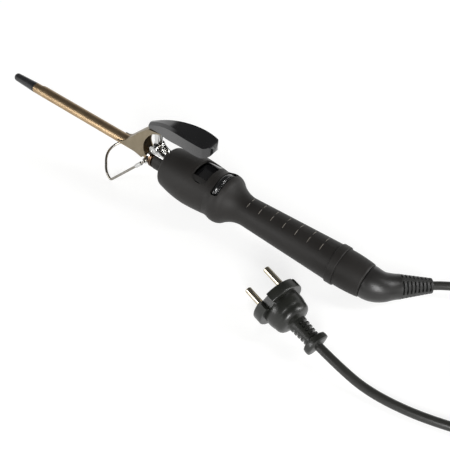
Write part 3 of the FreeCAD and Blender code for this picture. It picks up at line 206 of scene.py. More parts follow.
# Moulded PVC of the plug and the sheath of the lead: smooth, slightly waxy black.
PVC = Finish("black_pvc_moulding", "#141512", "#1A1B17", 0.29, 0.07, 0.0, Grain.EVEN, 0.3, 0.006, 10.0)
SHEATH = Finish("black_pvc_sheath", "#1F1F1D", "#262623", 0.31, 0.06, 0.0, Grain.EVEN, 0.35, 0.006, 12.0)
# Nickel over turned brass: bright with a warm cast.
PIN = Finish("nickel_plated_brass", "#C2B9A5", "#CCC4B3", 0.16, 0.07, 1.0, Grain.EVEN, 0.2, 0.003, 4.0)
CERAMIC = Finish("fired_alumina", "#DDD9CE", "#D2CDC0", 0.55, 0.10, 0.0, Grain.EVEN, 0.3, 0.010, 5.0)
SCREW = Finish("blackened_steel", "#3A3A3B", "#444444", 0.32, 0.10, 1.0, Grain.EVEN, 0.2, 0.004, 2.0)
HOUSING = Finish("plain_black_nylon", "#1E1E1F", "#252526", 0.50, 0.08, 0.0, Grain.EVEN, 0.4, 0.010, 8.0)
BOARD = Finish("glass_epoxy_board", "#2B5A35", "#336640", 0.40, 0.08, 0.0, Grain.EVEN, 0.5, 0.010, 5.0)
BRAID = Finish("glass_braid_sleeve", "#CFC8B8", "#BFB7A5", 0.75, 0.10, 0.0, Grain.EVEN, 0.5, 0.050, 3.0)
BRASS = Finish("turned_brass", "#C79E55", "#D0AA66", 0.24, 0.08, 1.0, Grain.AROUND, 0.2, 0.004, 4.0)


def material_of(finish: Finish) -> bpy.types.Material:
    """Material of a finish, made once.

    Args:
        finish: The surface finish.

    Returns:
        Its node material.
    """
    return bpy.data.materials.get(finish.name) or finish.build()


def dress(finish: Finish, *nodes: str) -> None:
    """Give CAD nodes a finish.

    Args:
        finish: What the nodes are made of.
        *nodes: Their names.
    """
    for name in nodes:
        mesh = frame["nodes"][name].data
        mesh.materials.clear()
        mesh.materials.append(material_of(finish))
        LOG.info("dressed %s in %s", name, finish.name)


# ------------------------------------------------------------------ places and meshes
@dataclass(frozen=True)
class Axes:
    """Right-handed axes in which a sub-assembly gives its sizes, in millimetres."""

    origin: np.ndarray
    along: np.ndarray
    side: np.ndarray
    up: np.ndarray

    def place(self, points: np.ndarray) -> np.ndarray:
        """Local millimetres, any shape by 3, to metres in the shared frame."""
        return (self.origin + points @ np.stack([self.along, self.side, self.up])) * MM

    def moved(self, offset: Sequence[float], turn: float = 0.0) -> "Axes":
        """Axes at an offset from these, turned about the up axis.

        Args:
            offset: Where the new origin is, in these axes.
            turn: Degrees from along towards side.

        Returns:
            The new axes.
        """
        cosine, sine = math.cos(math.radians(turn)), math.sin(math.radians(turn))
        origin = self.origin + np.asarray(offset, float) @ np.stack([self.along, self.side, self.up])
        return Axes(origin, cosine * self.along + sine * self.side,
                    cosine * self.side - sine * self.along, self.up)


JOINTS = {joint["name"]: joint for joint in frame["joints"]}
MOUNTS = {mount["name"]: mount for mount in frame["record"]["mounts"]}


def place_of(entry: dict) -> np.ndarray:
    """Place of a joint or a mount, in millimetres in the shared frame.

    Args:
        entry: The joint or mount from the frame.

    Returns:
        Its place.
    """
    return np.array(entry["pos_m"], float) / MM


def iron_axes(handle_length: float = 175.4) -> Axes:
    """Axes of the iron: along the rod towards the lead, origin at the handle's front face.

    Args:
        handle_length: From the handle's front face to its tail, where the lead's swivel is.

    Returns:
        The axes.
    """
    swivel = JOINTS["lead_swivel"]
    along = np.array(swivel["axis"], float)
    side = np.array([0.0, 1.0, 0.0])
    return Axes(place_of(swivel) - handle_length * along, along, side, np.cross(along, side))


def plug_axes(pin_reach: float = 8.96) -> Axes:
    """Axes of the plug: along from its face to the lead, side along the line of the pins.

    Args:
        pin_reach: How far in front of the face the pins' mounts are.

    Returns:
        The axes.
    """
    low, high = place_of(MOUNTS["plug_pin_low"]), place_of(MOUNTS["plug_pin_high"])
    along = -np.array(MOUNTS["plug_pin_low"]["axis"], float)
    side = (high - low) / np.linalg.norm(high - low)
    side -= along * (along @ side)
    side /= np.linalg.norm(side)
    return Axes((low + high) / 2 + pin_reach * along, along, side, np.cross(along, side))


def new_object(name: str, data: bpy.types.ID) -> bpy.types.Object:
    """Put new data in the scene, at the origin.

    Args:
        name: The object's name.
        data: Its mesh, curve, lamp or camera.

    Returns:
        The object.
    """
    made = bpy.data.objects.new(name, data)
    bpy.context.scene.collection.objects.link(made)
    return made


class Shell:
    """Vertices and faces of one piece, gathered from surfaces worked out as whole arrays."""

    def __init__(self) -> None:
        """Start with nothing."""
        self.points: list[np.ndarray] = []
        self.faces: list[list[int]] = []
        self.count = 0

    def add_rings(self, grid: np.ndarray, closed: bool = False) -> "Shell":
        """Join rings of points into a skin that faces outwards.

        Ring i is row i of the grid and runs round the piece's axis from side towards up; the rows go
        along the axis. Each cell of the grid is one face.

        Args:
            grid: Rings by points by 3, in local millimetres.
            closed: Whether the last ring joins the first, as on a sleeve; a cap closes each end otherwise.

        Returns:
            The shell itself.
        """
        rings, around = grid.shape[:2]
        rows = np.arange(rings * around).reshape(rings, around) + self.count
        if closed:
            rows = np.vstack([rows, rows[:1]])
        nxt = np.roll(rows, -1, axis=1)
        self.faces += np.stack([rows[:-1], nxt[:-1], nxt[1:], rows[1:]], axis=-1).reshape(-1, 4).tolist()
        self.points.append(grid.reshape(-1, 3))
        self.count += rings * around
        if not closed:
            self.points.append(np.stack([grid[0].mean(axis=0), grid[-1].mean(axis=0)]))
            middle = np.full(around, self.count)
            self.faces += np.stack([middle, nxt[0], rows[0]], axis=-1).tolist()
            self.faces += np.stack([middle + 1, rows[-1], nxt[-1]], axis=-1).tolist()
            self.count += 2
        return self

    def build(self, name: str, axes: Axes, finish: Finish, body: str, slot: str,
              crease: float = 32.0) -> bpy.types.Object:
        """Make the object.

        Args:
            name: The piece's name.
            axes: The axes its points are in.
            finish: What it is made of.
            body: The moving body it rides on.
            slot: The record's material slot; not used.
            crease: Degrees between faces past which an edge stays sharp.

        Returns:
            The object, at the origin.
        """
        mesh = bpy.data.meshes.new(name)
        mesh.from_pydata(axes.place(np.vstack(self.points)).tolist(), [], self.faces)
        mesh.polygons.foreach_set("use_smooth", np.ones(len(mesh.polygons), dtype=bool))
        mesh.set_sharp_from_angle(angle=math.radians(crease))
        mesh.materials.append(material_of(finish))
        piece = new_object(name, mesh)
        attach(piece, body)
        LOG.info("built %s with %d faces", name, len(mesh.polygons))
        return piece


def turned(stations: np.ndarray, angles: np.ndarray, limit: Callable | None = None) -> np.ndarray:
    """Surface turned about the along axis.

    A point at station (x, r) and angle a is (x, r cos a, r sin a).

    Args:
        stations: Stations by 2: place along the axis, and radius.
        angles: Angles round the axis, in radians.
        limit: Function of place, radius and angle, as grids, that returns the radius to use.

    Returns:
        Stations by angles by 3.
    """
    place = np.broadcast_to(stations[:, :1], (len(stations), len(angles)))
    radius = np.broadcast_to(stations[:, 1:2], place.shape)
    angle = np.broadcast_to(angles, place.shape)
    if limit is not None:
        radius = limit(place, radius, angle)
    return np.stack([place, radius * np.cos(angle), radius * np.sin(angle)], axis=-1)


def round_angles(count: int, edges: Sequence[float] = ()) -> np.ndarray:
    """Even angles round a circle, with a close pair at each given edge so that a step is upright.

    Args:
        count: Number of even angles.
        edges: Angles in degrees where the radius steps.

    Returns:
        Sorted angles in radians, from 0 and short of a full turn.
    """
    even = np.arange(count) * 360 / count
    pairs = np.array([[edge - 0.05, edge + 0.05] for edge in edges]).ravel() % 360 if len(edges) else []
    return np.radians(np.unique(np.concatenate([even, pairs])))


def arc(start: tuple[float, float], end: tuple[float, float], bulge: float, count: int = 8) -> np.ndarray:
    """Stations on a curved line: the chord, plus bulge times a half sine across it.

    Args:
        start: First place and radius.
        end: Last place and radius.
        bulge: Height of the middle above the chord, outwards when positive.
        count: How many stations.

    Returns:
        Stations by 2.
    """
    share = np.linspace(0, 1, count)[:, None]
    chord = np.subtract(end, start)
    normal = np.array([-chord[1], chord[0]]) / max(np.linalg.norm(chord), 1e-9)
    return np.asarray(start) + share * chord + np.sin(np.pi * share) * bulge * normal


# ------------------------------------------------------------------- barrel and clamp
@dataclass
class HeatedRod:
    """Heated rod: coated tube, cool tip, ceramic core and the steel heat break at its root."""

    def build(self) -> None:
        """Dress the CAD pieces."""
        dress(BARREL, "rod_tube")
        dress(TIP, "cool_tip")
        dress(DARK_PLATE, "heat_break")
        dress(CERAMIC, "heater_core")


@dataclass
class SprungClamp:
    """Hair clamp: curved spoon, yoke, thumb lever, lugs and the spring that closes it."""

    def build(self) -> None:
        """Dress the CAD pieces."""
        dress(BARREL, "clamp_spoon")
        dress(YOKE, "clamp_yoke")
        dress(PLATE, "hinge_lugs", "hinge_bushes", "lever_rivets")
        dress(SPRING, "torsion_spring")
        dress(GLOSS, "thumb_lever")


@dataclass
class HingeFittings:
    """Fixed side of the hinge: bracket and pin from the CAD, a stepped washer and a rolled edge on each side.

    The washer sits round the pin's head on the outside of the bracket's ear; the rolled edge runs along
    the bottom of the bracket's wall, back to the collar.
    """

    bracket_face: float = 4.8
    washer_bore: float = 2.0
    washer_radius: float = 3.7
    washer_sheet: float = 0.7
    washer_groove: float = 0.5
    washer_sides: int = 48
    bead_radius: float = 0.42
    bead_sides: int = 14
    bead_path: tuple[tuple[float, float], ...] = (
        (-11.6, 9.35), (-10.2, 8.75), (-7.0, 8.72), (0.0, 8.72), (7.6, 8.72))

    def build(self) -> None:
        """Dress the bracket and the pin, and add the washers and the rolled edges."""
        dress(PLATE, "hinge_bracket", "pivot_pin")
        iron = iron_axes()
        pivot = place_of(JOINTS["clamp_hinge"]) - iron.origin
        centre = (pivot @ iron.along, pivot @ iron.up)
        for side, name in ((-1, "near"), (1, "far")):
            self.washer().build(f"ear_washer_{name}", self.across(iron, centre, side), PLATE, "iron",
                                "bright_plating", crease=24.0)
            self.bead(side).build(f"bracket_bead_{name}", iron, PLATE, "iron", "bright_plating")

    def across(self, iron: Axes, centre: tuple[float, float], side: int) -> Axes:
        """Axes on the pivot that point outwards across the iron on one side.

        Args:
            iron: The iron's axes.
            centre: Place of the pivot along and up.
            side: -1 on the near side and 1 on the far side.

        Returns:
            The axes.
        """
        origin = iron.origin + centre[0] * iron.along + centre[1] * iron.up
        along = side * iron.side
        return Axes(origin, along, iron.along, np.cross(along, iron.along))

    def washer(self) -> Shell:
        """Washer with two raised rings: a turned loop of stations, with a groove in its top.

        The groove's walls stand at shares of the width between the bore and the rim.

        Returns:
            The washer's shell.
        """
        base, top = self.bracket_face, self.bracket_face + self.washer_sheet
        rim, bore, floor = self.washer_radius, self.washer_bore, top - self.washer_groove
        step = (rim - bore) / 5
        outline = np.array([
            (base, bore), (base, rim), (base + 0.2, rim), (top - 0.05, rim - 0.08), (top, rim - 0.2),
            (top, rim - step - 0.1), (floor, rim - 1.5 * step), (floor, rim - 3.2 * step),
            (top, rim - 4 * step + 0.02), (top, bore + 0.05), (top - 0.1, bore)])
        return Shell().add_rings(turned(outline[::-1], round_angles(self.washer_sides)), closed=True)

    def bead(self, side: int) -> Shell:
        """Rolled edge: a circle carried along the bottom of the wall.

        A point is the path's point plus the bead's radius times (cos a sideways, sin a across the path).

        Args:
            side: -1 on the near side and 1 on the far side.

        Returns:
            The bead's shell.
        """
        path = np.array(self.bead_path)
        step = np.gradient(path, axis=0)
        step /= np.linalg.norm(step, axis=1, keepdims=True)
        angles = np.radians(np.arange(self.bead_sides) * 360 / self.bead_sides)
        centre = np.stack([path[:, 0], np.full(len(path), side * self.bracket_face), path[:, 1]], axis=-1)
        normal = np.stack([-step[:, 1], np.zeros(len(path)), step[:, 0]], axis=-1)
        sideways = np.array([0.0, 1.0, 0.0])
        grid = (centre[:, None] + self.bead_radius * np.cos(angles)[None, :, None] * sideways
                + self.bead_radius * np.sin(angles)[None, :, None] * normal[:, None])
        return Shell().add_rings(grid)


@dataclass
class WireRest:
    """Folding wire rest with its ring and sleeves."""

    def build(self) -> None:
        """Dress the CAD pieces."""
        dress(PLATE, "rest_ring", "rest_sleeves")
        dress(SPRING, "wire_rest")


# ------------------------------------------------------------------ handle and controls
@dataclass
class Handle:
    """Two soft-touch shells, the front collar, the rear band, the screws and the thumb ridges of the grip.

    Two ridges lie in each groove of the grip, one on each side of the parting line on top.
    """

    first_ridge: float = 77.0
    ridge_pitch: float = 10.4
    ridges: int = 7
    ridge_radius: float = 0.32
    ridge_start: float = 5.0
    ridge_end: float = 29.0
    ridge_sink: float = 0.08
    ridge_steps: int = 18
    ridge_sides: int = 10
    grip_start: float = 75.0
    grip_end: float = 149.6
    grip_radius: float = 11.2
    grip_rear_radius: float = 13.9

    def build(self) -> None:
        """Dress the CAD pieces and add the ridges."""
        dress(SOFT_TOUCH, "handle_near_shell", "handle_far_shell", "front_collar", "rear_band")
        dress(SCREW, "handle_screws")
        shell = Shell()
        for index in range(self.ridges):
            for side in (-1, 1):
                shell.add_rings(self.ridge(self.first_ridge + index * self.ridge_pitch, side))
        # The ridges get the lighter lacquer, which is a painted highlight along each ridge.
        shell.build("grip_ridges", iron_axes(), RIDGE_HIGHLIGHT_TOUCH, "iron", "handle_moulding")

    def ridge(self, place: float, side: int) -> np.ndarray:
        """One ridge: a circle carried round the grip, its radius falling to nothing at both ends.

        At share t of the span the circle's radius is the ridge's radius times the square root of
        sin(pi t), and its centre is a little below the grip's surface.

        Args:
            place: Place of the ridge along the handle.
            side: 1 for the near side and -1 for the far side.

        Returns:
            Rings by points by 3.
        """
        share = np.linspace(0.004, 0.996, self.ridge_steps)
        start, end = sorted((90.0 + side * self.ridge_start, 90.0 + side * self.ridge_end))
        angle = np.radians(start + (end - start) * share)[:, None]
        turn = (np.arange(self.ridge_sides) * 2 * math.pi / self.ridge_sides)[None, :]
        radius = self.ridge_radius * np.sqrt(np.sin(math.pi * share))[:, None]
        growth = (self.grip_rear_radius - self.grip_radius) / (self.grip_end - self.grip_start)
        surface = self.grip_radius + growth * (place - self.grip_start) - self.ridge_sink
        out = surface + radius * np.cos(turn)
        return np.stack([place - radius * np.sin(turn), out * np.cos(angle), out * np.sin(angle)], axis=-1)


@dataclass
class SwitchPanel:
    """Gloss panel with its rocker, and the switch block below it."""

    middle: float = 36.4
    half_width: float = 6.1
    lip_radius: float = 18.7
    lip_sheet: float = 1.2
    lip_dish: float = 0.15
    lip_steps: int = 12
    far_lip: tuple[float, float] = (50.0, 64.0)
    near_lip: tuple[float, float] = (116.0, 128.0)

    def build(self) -> None:
        """Dress the CAD pieces and add the panel's two turned-up ends."""
        dress(GLOSS, "switch_frame", "rocker_switch")
        dress(HOUSING, "switch_block")
        for name, span, finish in (("panel_lip_far", self.far_lip, GLOSS),
                                   ("panel_lip_near", self.near_lip, SATIN)):
            self.lip(*span).build(name, iron_axes(), finish, "iron", "gloss_moulding")

    def lip(self, first: float, last: float) -> Shell:
        """One end of the panel, which follows the head's round under the edge of the window.

        Each ring is the outline of a curved strip: out along an arc of the lip's radius and back along an
        arc one sheet smaller. The arc's height falls by a cosine of the place along the handle, so the
        strip is slightly dished.

        Args:
            first: Angle at which the strip starts, from the far side upwards, in degrees.
            last: Angle at which it ends.

        Returns:
            The strip's shell.
        """
        angles = np.radians(np.linspace(first, last, self.lip_steps))
        loop = np.concatenate([angles, angles[::-1]])
        sheet = np.repeat([0.0, self.lip_sheet], self.lip_steps)
        share = np.linspace(-1, 1, 15)
        radius = self.lip_radius - sheet[None, :] - self.lip_dish * np.cos(share * math.pi / 2)[:, None]
        place = np.broadcast_to((self.middle + share * self.half_width)[:, None], radius.shape)
        return Shell().add_rings(np.stack([place, radius * np.cos(loop), radius * np.sin(loop)], axis=-1))


@dataclass
class HeatDial:
    """Thumbwheel across the head: a smooth gloss band, a bright bead and a milled edge, on a bored hub."""

    radius: float = 14.6
    width: float = 5.8
    bore: float = 3.06
    hub_wall: float = 2.0
    web_radius: float = 11.6
    web_drop: float = 0.9
    groove_depth: float = 0.7
    milling_teeth: int = 60
    milling_depth: float = 0.55
    milling_start: float = 1.05

    def build(self) -> None:
        """Make the wheel in place of the CAD one, and dress the control it turns."""
        dress(HOUSING, "heat_control")
        iron = iron_axes()
        shell = Shell().add_rings(turned(self.profile(), round_angles(self.milling_teeth * 6), self.milling),
                                  closed=True)
        axes = Axes(place_of(JOINTS["heat_dial_turn"]), iron.along, iron.side, iron.up)
        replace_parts(shell.build("dial_wheel", axes, GLOSS, "dial", "dial_moulding", crease=28.0), "heat_dial")

    def profile(self) -> np.ndarray:
        """Closed profile of the wheel, from the hub's front round the rim to the hub's back.

        Returns:
            Stations by 2: place and radius.
        """
        half, rim, hub = self.width / 2, self.radius, self.bore + self.hub_wall
        web, floor = half - self.web_drop, rim - self.groove_depth
        front = np.array([(-half, self.bore), (-half, hub), (-web, hub + 0.6), (-web, self.web_radius),
                          (-half, self.web_radius + 0.8)])
        band = arc((-half, rim - 0.9), (-0.35, rim - 0.5), 0.62, 10)
        groove = np.array([(-0.2, floor - 0.3), (0.0, floor - 0.3)])
        bead = arc((0.1, rim - 0.45), (0.85, rim - 0.45), 0.36, 7)
        channel = np.array([(0.92, floor - 0.2), (1.02, floor - 0.2)])
        milled = np.array([(self.milling_start, rim - 0.35), (self.milling_start + 0.2, rim - 0.05),
                           (1.6, rim), (2.2, rim), (half - 0.3, rim - 0.1), (half, rim - 0.5)])
        back = front[::-1] * (-1.0, 1.0)
        return np.vstack([front, band, groove, bead, channel, milled, back])

    def milling(self, place: np.ndarray, radius: np.ndarray, angle: np.ndarray) -> np.ndarray:
        """Radius with the milled teeth: a raised cosine round the rim, on the milled edge only.

        Args:
            place: Place along the wheel's axis.
            radius: Radius before the milling.
            angle: Angle round the wheel.

        Returns:
            The radius to use.
        """
        wave = 0.5 - 0.5 * np.cos(self.milling_teeth * angle)
        milled = (place >= self.milling_start) & (radius > self.web_radius + 1.5)
        return radius - np.where(milled, self.milling_depth * wave ** 1.5, 0.0)


# -------------------------------------------------------------------------- swivel tail
@dataclass
class SwivelTail:
    """Bent elbow that turns in the handle's tail, and the slotted sleeve round the lead."""

    corner: float = 183.5
    turn: float = 41.5
    bend_radius: float = 17.0
    seam: float = 175.75
    seam_round: float = 0.35
    root_radius: float = 12.1
    exit_radius: float = 8.7
    reach: float = 15.4
    spigot_start: float = 164.8
    spigot_radius: float = 6.0
    flange_radius: float = 8.3
    flange_width: float = 2.6
    fall_start: float = 1.2
    sides: int = 72
    sleeve_length: float = 21.8
    sleeve_end: float = 5.4
    sleeve_bore: float = 3.22
    slots: int = 8
    slot_share: float = 0.44
    slot_depth: float = 2.1

    def build(self) -> None:
        """Make the elbow and the sleeve, and dress what is inside the handle."""
        iron = iron_axes()
        elbow = self.elbow().build("elbow_moulding", iron, SATIN, "lead", "elbow_moulding")
        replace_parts(elbow, "swivel_elbow")
        outlet = iron.moved((self.corner, 0, 0), self.turn)
        sleeve = self.sleeve().build("relief_sleeve", outlet, SLEEVE, "lead", "elbow_moulding", crease=40.0)
        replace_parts(sleeve, "strain_relief")
        dress(HOUSING, "brush_block", "swivel_drum")
        dress(BRASS, "contact_rings")

    def elbow(self) -> Shell:
        """Elbow: a circle carried along a straight, a bend and a straight.

        At arc length s the path's direction is 0, then (s - bend start) / bend radius, then the whole
        turn; its points are the running sums of the direction's cosine and sine. The radius rounds up
        from the seam by a quarter circle and then falls by a smooth step to the exit.

        Returns:
            The elbow's shell, with its spigot and flange.
        """
        turn = math.radians(self.turn)
        tangent = self.bend_radius * math.tan(turn / 2)
        start, bend = self.corner - tangent - self.seam, self.bend_radius * turn
        total = start + bend + self.reach - tangent
        s = np.unique(np.concatenate([self.seam_round * (1 - np.cos(np.linspace(0, math.pi / 2, 7))),
                                      np.linspace(self.seam_round, total, 60)]))
        direction = np.clip((s - start) / self.bend_radius, 0, turn)
        before = np.clip(s, 0, start)
        beyond = np.clip(s - start - bend, 0, None)
        x = self.seam + before + self.bend_radius * np.sin(direction) + beyond * math.cos(turn)
        y = self.bend_radius * (1 - np.cos(direction)) + beyond * math.sin(turn)
        rounding = np.sqrt(np.clip(1 - (1 - np.clip(s / self.seam_round, 0, 1)) ** 2, 0, 1))
        fall = np.clip((s - self.fall_start) / (total - self.fall_start), 0, 1)
        fall = fall * fall * (3 - 2 * fall)
        radius = (self.root_radius - self.seam_round * (1 - rounding)
                  + (self.exit_radius - self.root_radius) * fall)
        angle = np.arange(self.sides) * 2 * math.pi / self.sides
        grid = np.stack([
            x[:, None] - (radius * np.sin(direction))[:, None] * np.cos(angle),
            y[:, None] + (radius * np.cos(direction))[:, None] * np.cos(angle),
            radius[:, None] * np.sin(angle)], axis=-1)
        flange_end = self.spigot_start + self.flange_width
        inner = np.array([(self.spigot_start, self.flange_radius), (flange_end, self.flange_radius),
                          (flange_end, self.spigot_radius), (self.seam + 2.0, self.spigot_radius)])
        return Shell().add_rings(grid).add_rings(turned(inner, angle))

    def sleeve(self) -> Shell:
        """Sleeve: a turned cone, cut by rows of slots that stop short of a web at each quarter turn.

        Returns:
            The sleeve's shell, with its bore.
        """
        shares = np.array([0.02, 0.03, self.slot_share, self.slot_share + 0.01, 0.56, 0.90, 0.99])
        edges = (np.arange(self.slots)[:, None] + shares).ravel() * self.sleeve_length / self.slots
        cone = self.exit_radius - 0.15 + (self.sleeve_end - self.exit_radius) * edges / self.sleeve_length
        outer = np.stack([self.reach + edges, cone], axis=-1)
        first = [(self.reach, self.sleeve_bore), (self.reach, self.exit_radius - 0.2)]
        last = [(self.reach + self.sleeve_length, self.sleeve_end - 0.5),
                (self.reach + self.sleeve_length, self.sleeve_bore)]
        grid = turned(np.vstack([first, outer, last]), round_angles(2 * self.sides), self.slotted)
        return Shell().add_rings(grid, closed=True)

    def slotted(self, place: np.ndarray, radius: np.ndarray, angle: np.ndarray) -> np.ndarray:
        """Radius with the slots: lowered by the slot's depth within a row and away from the webs.

        Args:
            place: Place along the sleeve.
            radius: Radius before the slots.
            angle: Angle round the sleeve.

        Returns:
            The radius to use.
        """
        step = self.sleeve_length / self.slots
        share = ((place - self.reach) / step) % 1.0
        row = (share > 0.025) & (share < self.slot_share + 0.005) & (radius > self.sleeve_bore + 1.0)
        window = np.clip((np.abs(np.sin(2 * angle)) - 0.30) / 0.2, 0, 1)
        lowered = np.maximum(radius - self.slot_depth * window, self.sleeve_bore + 0.5)
        return np.where(row, lowered, radius)


@dataclass
class MainsPlug:
    """Moulded plug: notched flange, domed back, slotted neck, saddle-shaped pull ring and two pins."""

    face: float = -1.0
    flange_back: float = 6.0
    flange_radius: float = 18.0
    rim_round: float = 0.9
    dome_radius: float = 13.5
    dome_middle: float = 14.0
    neck_start: float = 21.0
    neck_radius: float = 6.5
    neck_end_radius: float = 5.7
    neck_end: float = 35.4
    ring_middle: float = 39.4
    ring_half_width: float = 2.7
    ring_radius: float = 8.7
    ring_waist: float = 1.5
    ring_lean: float = 0.7
    notch_half_width: float = 3.6
    notch_floor: float = 13.2
    guide_half_width: float = 1.9
    guide_floor: float = 16.5
    slot_start: float = 24.2
    slot_pitch: float = 2.9
    slot_width: float = 1.7
    slot_depth: float = 2.3
    neck_slots: int = 4
    web_half_angle: float = 24.0

    def build(self) -> bpy.types.Object:
        """Make the moulding in place of the CAD one, and dress the pins.

        Returns:
            The moulding.
        """
        dress(PIN, "plug_pins")
        notch = math.degrees(math.asin(self.notch_half_width / self.flange_radius))
        guide = math.degrees(math.asin(self.guide_half_width / self.flange_radius))
        web = self.web_half_angle
        edges = [base + sign * gap for base, gap in ((90, notch), (270, notch), (0, guide), (180, guide),
                                                    (90, web), (270, web)) for sign in (-1, 1)]
        grid = turned(self.stations(), round_angles(120, edges), self.cut_back)
        shell = Shell().add_rings(self.saddle(grid))
        moulding = shell.build("plug_moulding", plug_axes(), PVC, "lead", "plug_moulding", crease=34.0)
        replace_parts(moulding, "plug_body")
        return moulding

    def stations(self) -> np.ndarray:
        """Profile of the moulding, from the face to the lead.

        Returns:
            Stations by 2: place and radius.
        """
        face, back, rim, soft = self.face, self.flange_back, self.flange_radius, self.rim_round
        quarter = np.linspace(0, math.pi / 2, 6)
        front = np.stack([face + soft * (1 - np.cos(quarter)), rim - soft * (1 - np.sin(quarter))], axis=-1)
        rear = np.stack([back - soft * (1 - np.sin(quarter)), rim - soft * (1 - np.cos(quarter))], axis=-1)
        plate = np.array([(face, 2.0), (face, 12.6), (face, 14.5)])
        dome = arc((back, self.dome_radius), (self.dome_middle, self.dome_radius - 0.1), 0.45, 8)
        shoulder = arc((self.dome_middle + 0.6, self.dome_radius - 0.4),
                       (self.neck_start, self.neck_radius + 1.0), 2.1, 10)
        cuts = self.slot_start + self.slot_pitch * np.arange(self.neck_slots)[:, None] + np.array(
            [0.0, 0.02, self.slot_width, self.slot_width + 0.02])
        run = np.concatenate([[self.neck_start + 0.8], cuts.ravel(), [self.neck_end]])
        slope = (self.neck_end_radius - self.neck_radius) / (self.neck_end - self.neck_start)
        neck = np.stack([run, self.neck_radius + slope * (run - self.neck_start)], axis=-1)
        low, high = self.ring_middle - self.ring_half_width, self.ring_middle + self.ring_half_width
        ring = np.vstack([arc((low, self.neck_end_radius), (low + 0.9, self.ring_radius), 0.3, 5),
                          arc((low + 1.1, self.ring_radius), (high - 1.1, self.ring_radius), 0.25, 6),
                          arc((high - 0.9, self.ring_radius), (high, self.neck_end_radius - 0.8), 0.3, 5)])
        return np.vstack([plate, front, rear[1:], dome, shoulder, neck, ring, [(high + 0.6, 3.4)]])

    def cut_back(self, place: np.ndarray, radius: np.ndarray, angle: np.ndarray) -> np.ndarray:
        """Radius after the cuts.

        The two earth notches are flat floors through the flange, the two guides are shallower, and each
        neck slot lowers the neck except at the webs.

        Args:
            place: Place along the plug.
            radius: Radius before the cuts.
            angle: Angle round the plug.

        Returns:
            The radius to use.
        """
        flange = place <= self.flange_back + 0.01
        across, height = np.abs(np.cos(angle)), np.abs(np.sin(angle))
        notch = flange & (across * self.flange_radius < self.notch_half_width)
        radius = np.where(notch, np.minimum(radius, self.notch_floor / np.maximum(height, 0.2)), radius)
        guide = (place <= self.flange_back - 0.9) & (height * self.flange_radius < self.guide_half_width)
        radius = np.where(guide, np.minimum(radius, self.guide_floor / np.maximum(across, 0.2)), radius)
        share = (place - self.slot_start) / self.slot_pitch
        within = (share % 1.0) * self.slot_pitch
        row = (share > 0) & (share < self.neck_slots) & (within > 0.01) & (within < self.slot_width + 0.01)
        side = across > math.sin(math.radians(self.web_half_angle))
        return np.where(row & side, radius - self.slot_depth, radius)

    def saddle(self, grid: np.ndarray) -> np.ndarray:
        """Pull the ring into a saddle: narrower at the webs, and its two lobes leaning back.

        Args:
            grid: The turned surface.

        Returns:
            The same grid with the ring changed.
        """
        place, across, height = grid[..., 0], grid[..., 1], grid[..., 2]
        radius = np.hypot(across, height)
        amount = np.clip(1 - np.abs(place - self.ring_middle) / (self.ring_half_width + 0.8), 0, 1) ** 0.5
        amount = amount * np.clip((radius - self.neck_end_radius) / 2.0, 0, 1)
        webs = (height / np.maximum(radius, 0.1)) ** 2
        shrink = 1 - self.ring_waist * amount * webs / np.maximum(radius, 1.0)
        lean = self.ring_lean * amount * (1 - 2 * webs)
        return np.stack([place + lean, across * shrink, height * shrink], axis=-1)


@dataclass
class Innards:
    """Board, leads and fuse inside the handle."""

    def build(self) -> None:
        """Dress the CAD pieces."""
        dress(BOARD, "circuit_board")
        dress(BRAID, "heater_leads", "supply_leads")
        dress(CERAMIC, "thermal_fuse")


